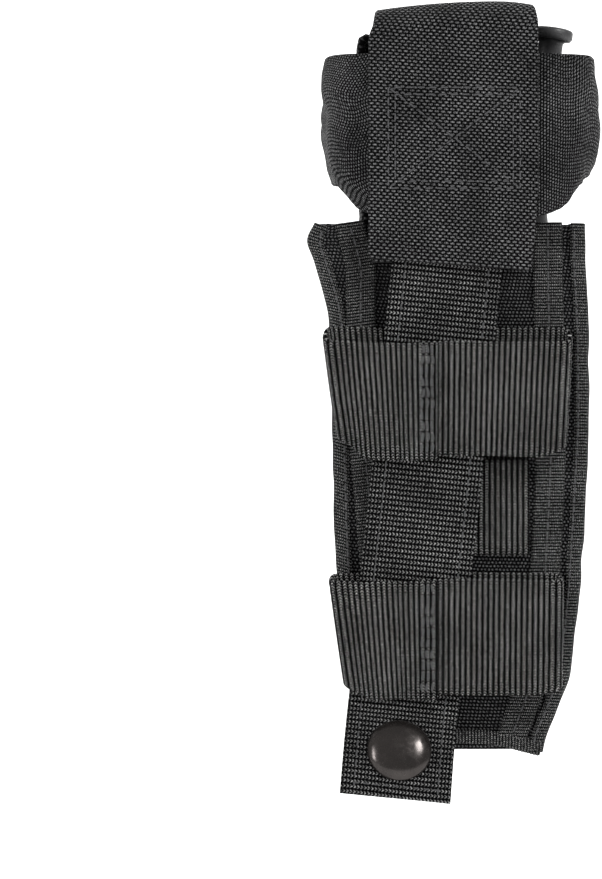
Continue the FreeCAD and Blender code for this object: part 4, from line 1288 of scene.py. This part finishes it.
def ribbon():
    """The inner ribbon, up through the plate and over the rod's slot."""
    half, rise, foot = 9.0, 0.0, PLATE_FACE - PLATE_THICK + 0.2
    line = [(-half, foot), (-half, rise - 3)]
    line += arc_points((-half + 3, rise - 3), 3, 180, 90, 12)
    line += arc_points((half - 3, rise - 3), 3, 90, 0, 12) + [(half, foot)]
    path, _ = resample(line, 0.5)
    across = np.linspace(-6.9, 6.9, 26)[None, :]
    x = path[:, 0][:, None] + 0 * across
    y = path[:, 1][:, None] + 0 * across
    z = PIVOT[Z] + across + 0 * x
    grid = on_run(np.stack([x, y, z], 2))
    thing = cloth_solid("inner_ribbon", grid, 1.1, 0, 0, flip=True, hem=0.5)
    finish_piece(thing, "tq", ("tq_ribbon",), "tourniquet")


def time_strap():
    """The short grey strap across the clip's mouth."""
    low, high = node_box("tq_time_strap")
    half = (high[Y] - low[Y]) / 2 - 0.1
    x = np.linspace(-half, half, 60)
    z = np.linspace(-7.9, 7.9, 30)
    gx, gz = np.meshgrid(x, z, indexing="ij")
    gy = np.full_like(gx, 6.5 + 0.45) + 0.3 * np.cos(gx / half * math.pi / 2)
    grid = on_run(np.stack([gx, gy, gz + PIVOT[Z] - 30], 2))
    thing = cloth_solid("cover_strap", grid, 0.85, 0, 0, flip=True, hem=0.5)
    finish_piece(thing, "grey", ("tq_time_strap",), "tourniquet")


def windlass():
    """The rod, turned smooth, with grip rings, a slot for the ribbon and a round head each end."""
    half, neck = 60.0, 57.2
    middle_r, waist_r, neck_r, head_r = 5.25, 4.5, 2.9, 4.9
    upper = [(0, half), (head_r - 1.0, half), (head_r - 0.3, half - 0.2), (head_r, half - 0.7)]
    upper += [(head_r, neck + 0.7), (head_r - 0.4, neck + 0.1), (neck_r + 0.5, neck - 0.1)]
    upper += [(neck_r, neck - 0.6), (neck_r, 52.0), (neck_r + 0.5, 50.4), (waist_r, 48.4)]
    for k in range(8):
        z = 46.0 - k * 3.2
        upper += [(waist_r, z), (waist_r - 0.45, z - 0.5), (waist_r - 0.45, z - 1.3)]
        upper += [(waist_r, z - 1.8)]
    upper += [(waist_r, 17.5), (middle_r, 14.5)]
    profile = upper + [(r, -z) for r, z in upper[::-1]]
    rod = lathe("windlass_rod", profile, (0, 0, 0), (0, 0, 1), 48)
    slot = bpy.data.meshes.new("slot_cut")
    bm = bmesh.new()
    bmesh.ops.create_cube(bm, size=1.0)
    bmesh.ops.scale(bm, vec=Vector((24, 2.6, 22)) * MM, verts=bm.verts)
    bm.to_mesh(slot)
    bm.free()
    cutter = linked("slot_cut", slot)
    cut = rod.modifiers.new("slot", "BOOLEAN")
    cut.object = cutter
    cut.solver = "EXACT"
    apply_modifiers(rod)
    bpy.data.objects.remove(cutter)
    into_pouch = Matrix.Rotation(math.radians(-90), 4, "Z")
    leaned = Matrix.Rotation(math.radians(RUN_LEAN), 4, "Y")
    rod.data.transform(Matrix.Translation(Vector(PIVOT) * MM) @ leaned @ into_pouch)
    sharpen(rod, 45)
    finish_piece(rod, "plastic", ("tq_windlass_rod",), "windlass")


# ================================================================ camera and light
def camera():
    """Straight in front of the wearer's side, with the pouch at the right of the frame."""
    lens_data = bpy.data.cameras.new("camera")
    view = linked("camera", lens_data)
    distance, field = 850.0, 200.4
    lens_data.lens = lens_data.sensor_width * distance / field
    lens_data.clip_start, lens_data.clip_end = 0.05, 20.0
    view.location = Vector((-36.3, -distance, 17.9)) * MM
    view.rotation_euler = (math.pi / 2, 0, 0)
    bpy.context.scene.camera = view


def lamp(name, place, aim, size, watts):
    data = bpy.data.lights.new(name, "AREA")
    data.shape = "RECTANGLE"
    data.size, data.size_y, data.energy = size[0], size[1], watts
    thing = linked(name, data)
    thing.location = Vector(place)
    thing.rotation_euler = (Vector(aim) - Vector(place)).to_track_quat("-Z", "Y").to_euler()


def studio():
    """A pale sweep: floor, curved foot and wall, all far from the object."""
    floor_z = cad_low[2] - 0.045
    profile = [(-2.0, floor_z), (1.0, floor_z)]
    profile += [(1.0 + 0.6 * math.sin(a), floor_z + 0.6 - 0.6 * math.cos(a))
                for a in np.linspace(0.1, math.pi / 2, 14)]
    profile += [(1.6, floor_z + 3.0)]
    verts = [(x, y, z) for y, z in profile for x in (-2.5, 2.5)]
    faces = [(2 * k, 2 * k + 1, 2 * k + 3, 2 * k + 2) for k in range(len(profile) - 1)]
    mesh = bpy.data.meshes.new("sweep")
    mesh.from_pydata(verts, [], faces)
    mesh.polygons.foreach_set("use_smooth", [True] * len(mesh.polygons))
    sweep = linked("sweep", mesh)
    n = Nodes("pale_floor")
    n.set(Base_Color=(0.8, 0.8, 0.8, 1.0), Roughness=0.9, Specular_IOR_Level=0.0)
    n.set(Emission_Color=(1.0, 1.0, 1.0, 1.0), Emission_Strength=0.85)
    mesh.materials.append(n.material)
    world = bpy.data.worlds.new("studio")
    bpy.context.scene.world = world
    world.use_nodes = True
    backdrop = world.node_tree.nodes["Background"]
    backdrop.inputs["Color"].default_value = (1, 1, 1, 1)
    backdrop.inputs["Strength"].default_value = 0.5
    lamp("key", (0.75, -0.6, 0.85), (0, 0, 0.03), (0.3, 0.3), 15)
    lamp("side", (-0.95, -0.5, 0.35), (0, 0, 0.03), (0.25, 0.5), 8)
    bpy.context.scene.view_settings.view_transform = "Standard"


# ================================================================ making it all
camera()
studio()
band_loop("upper_band_webbing", "upper_band", (-28.6, -31.6), (24.7, 26.0), 3.0, 3.2)
band_loop("lower_band_webbing", "lower_band", (-27.0, -30.2), (23.7, 24.0), 1.6, 1.4)
middle_row()
vertical_strap()
snap_pieces()
back_panel()
edge_binding("left_binding", "left_edge_binding", -1)
edge_binding("right_binding", "right_edge_binding", 1)
bottom_binding()
inner_tape("left_tape", "left_inner_tape", -1, left_tape_line, -41.0)
inner_tape("right_tape", "right_inner_tape", 1, right_tape_line, -50.5)
bottom_panel(front_panel())
mouth_binding()
flap_front_strap(flap_rear_strap())
box_stitching("box_stitching", -16.4, 13.7, 75.2, 98.2, FLAP_LOW[Y] - 0.05, -1, "pouch")
retention_loop()
anchor_piece()
patches()
pull_tab()
folded_webbing()
front_run()
hard_pieces()
ribbon()
time_strap()
windlass()
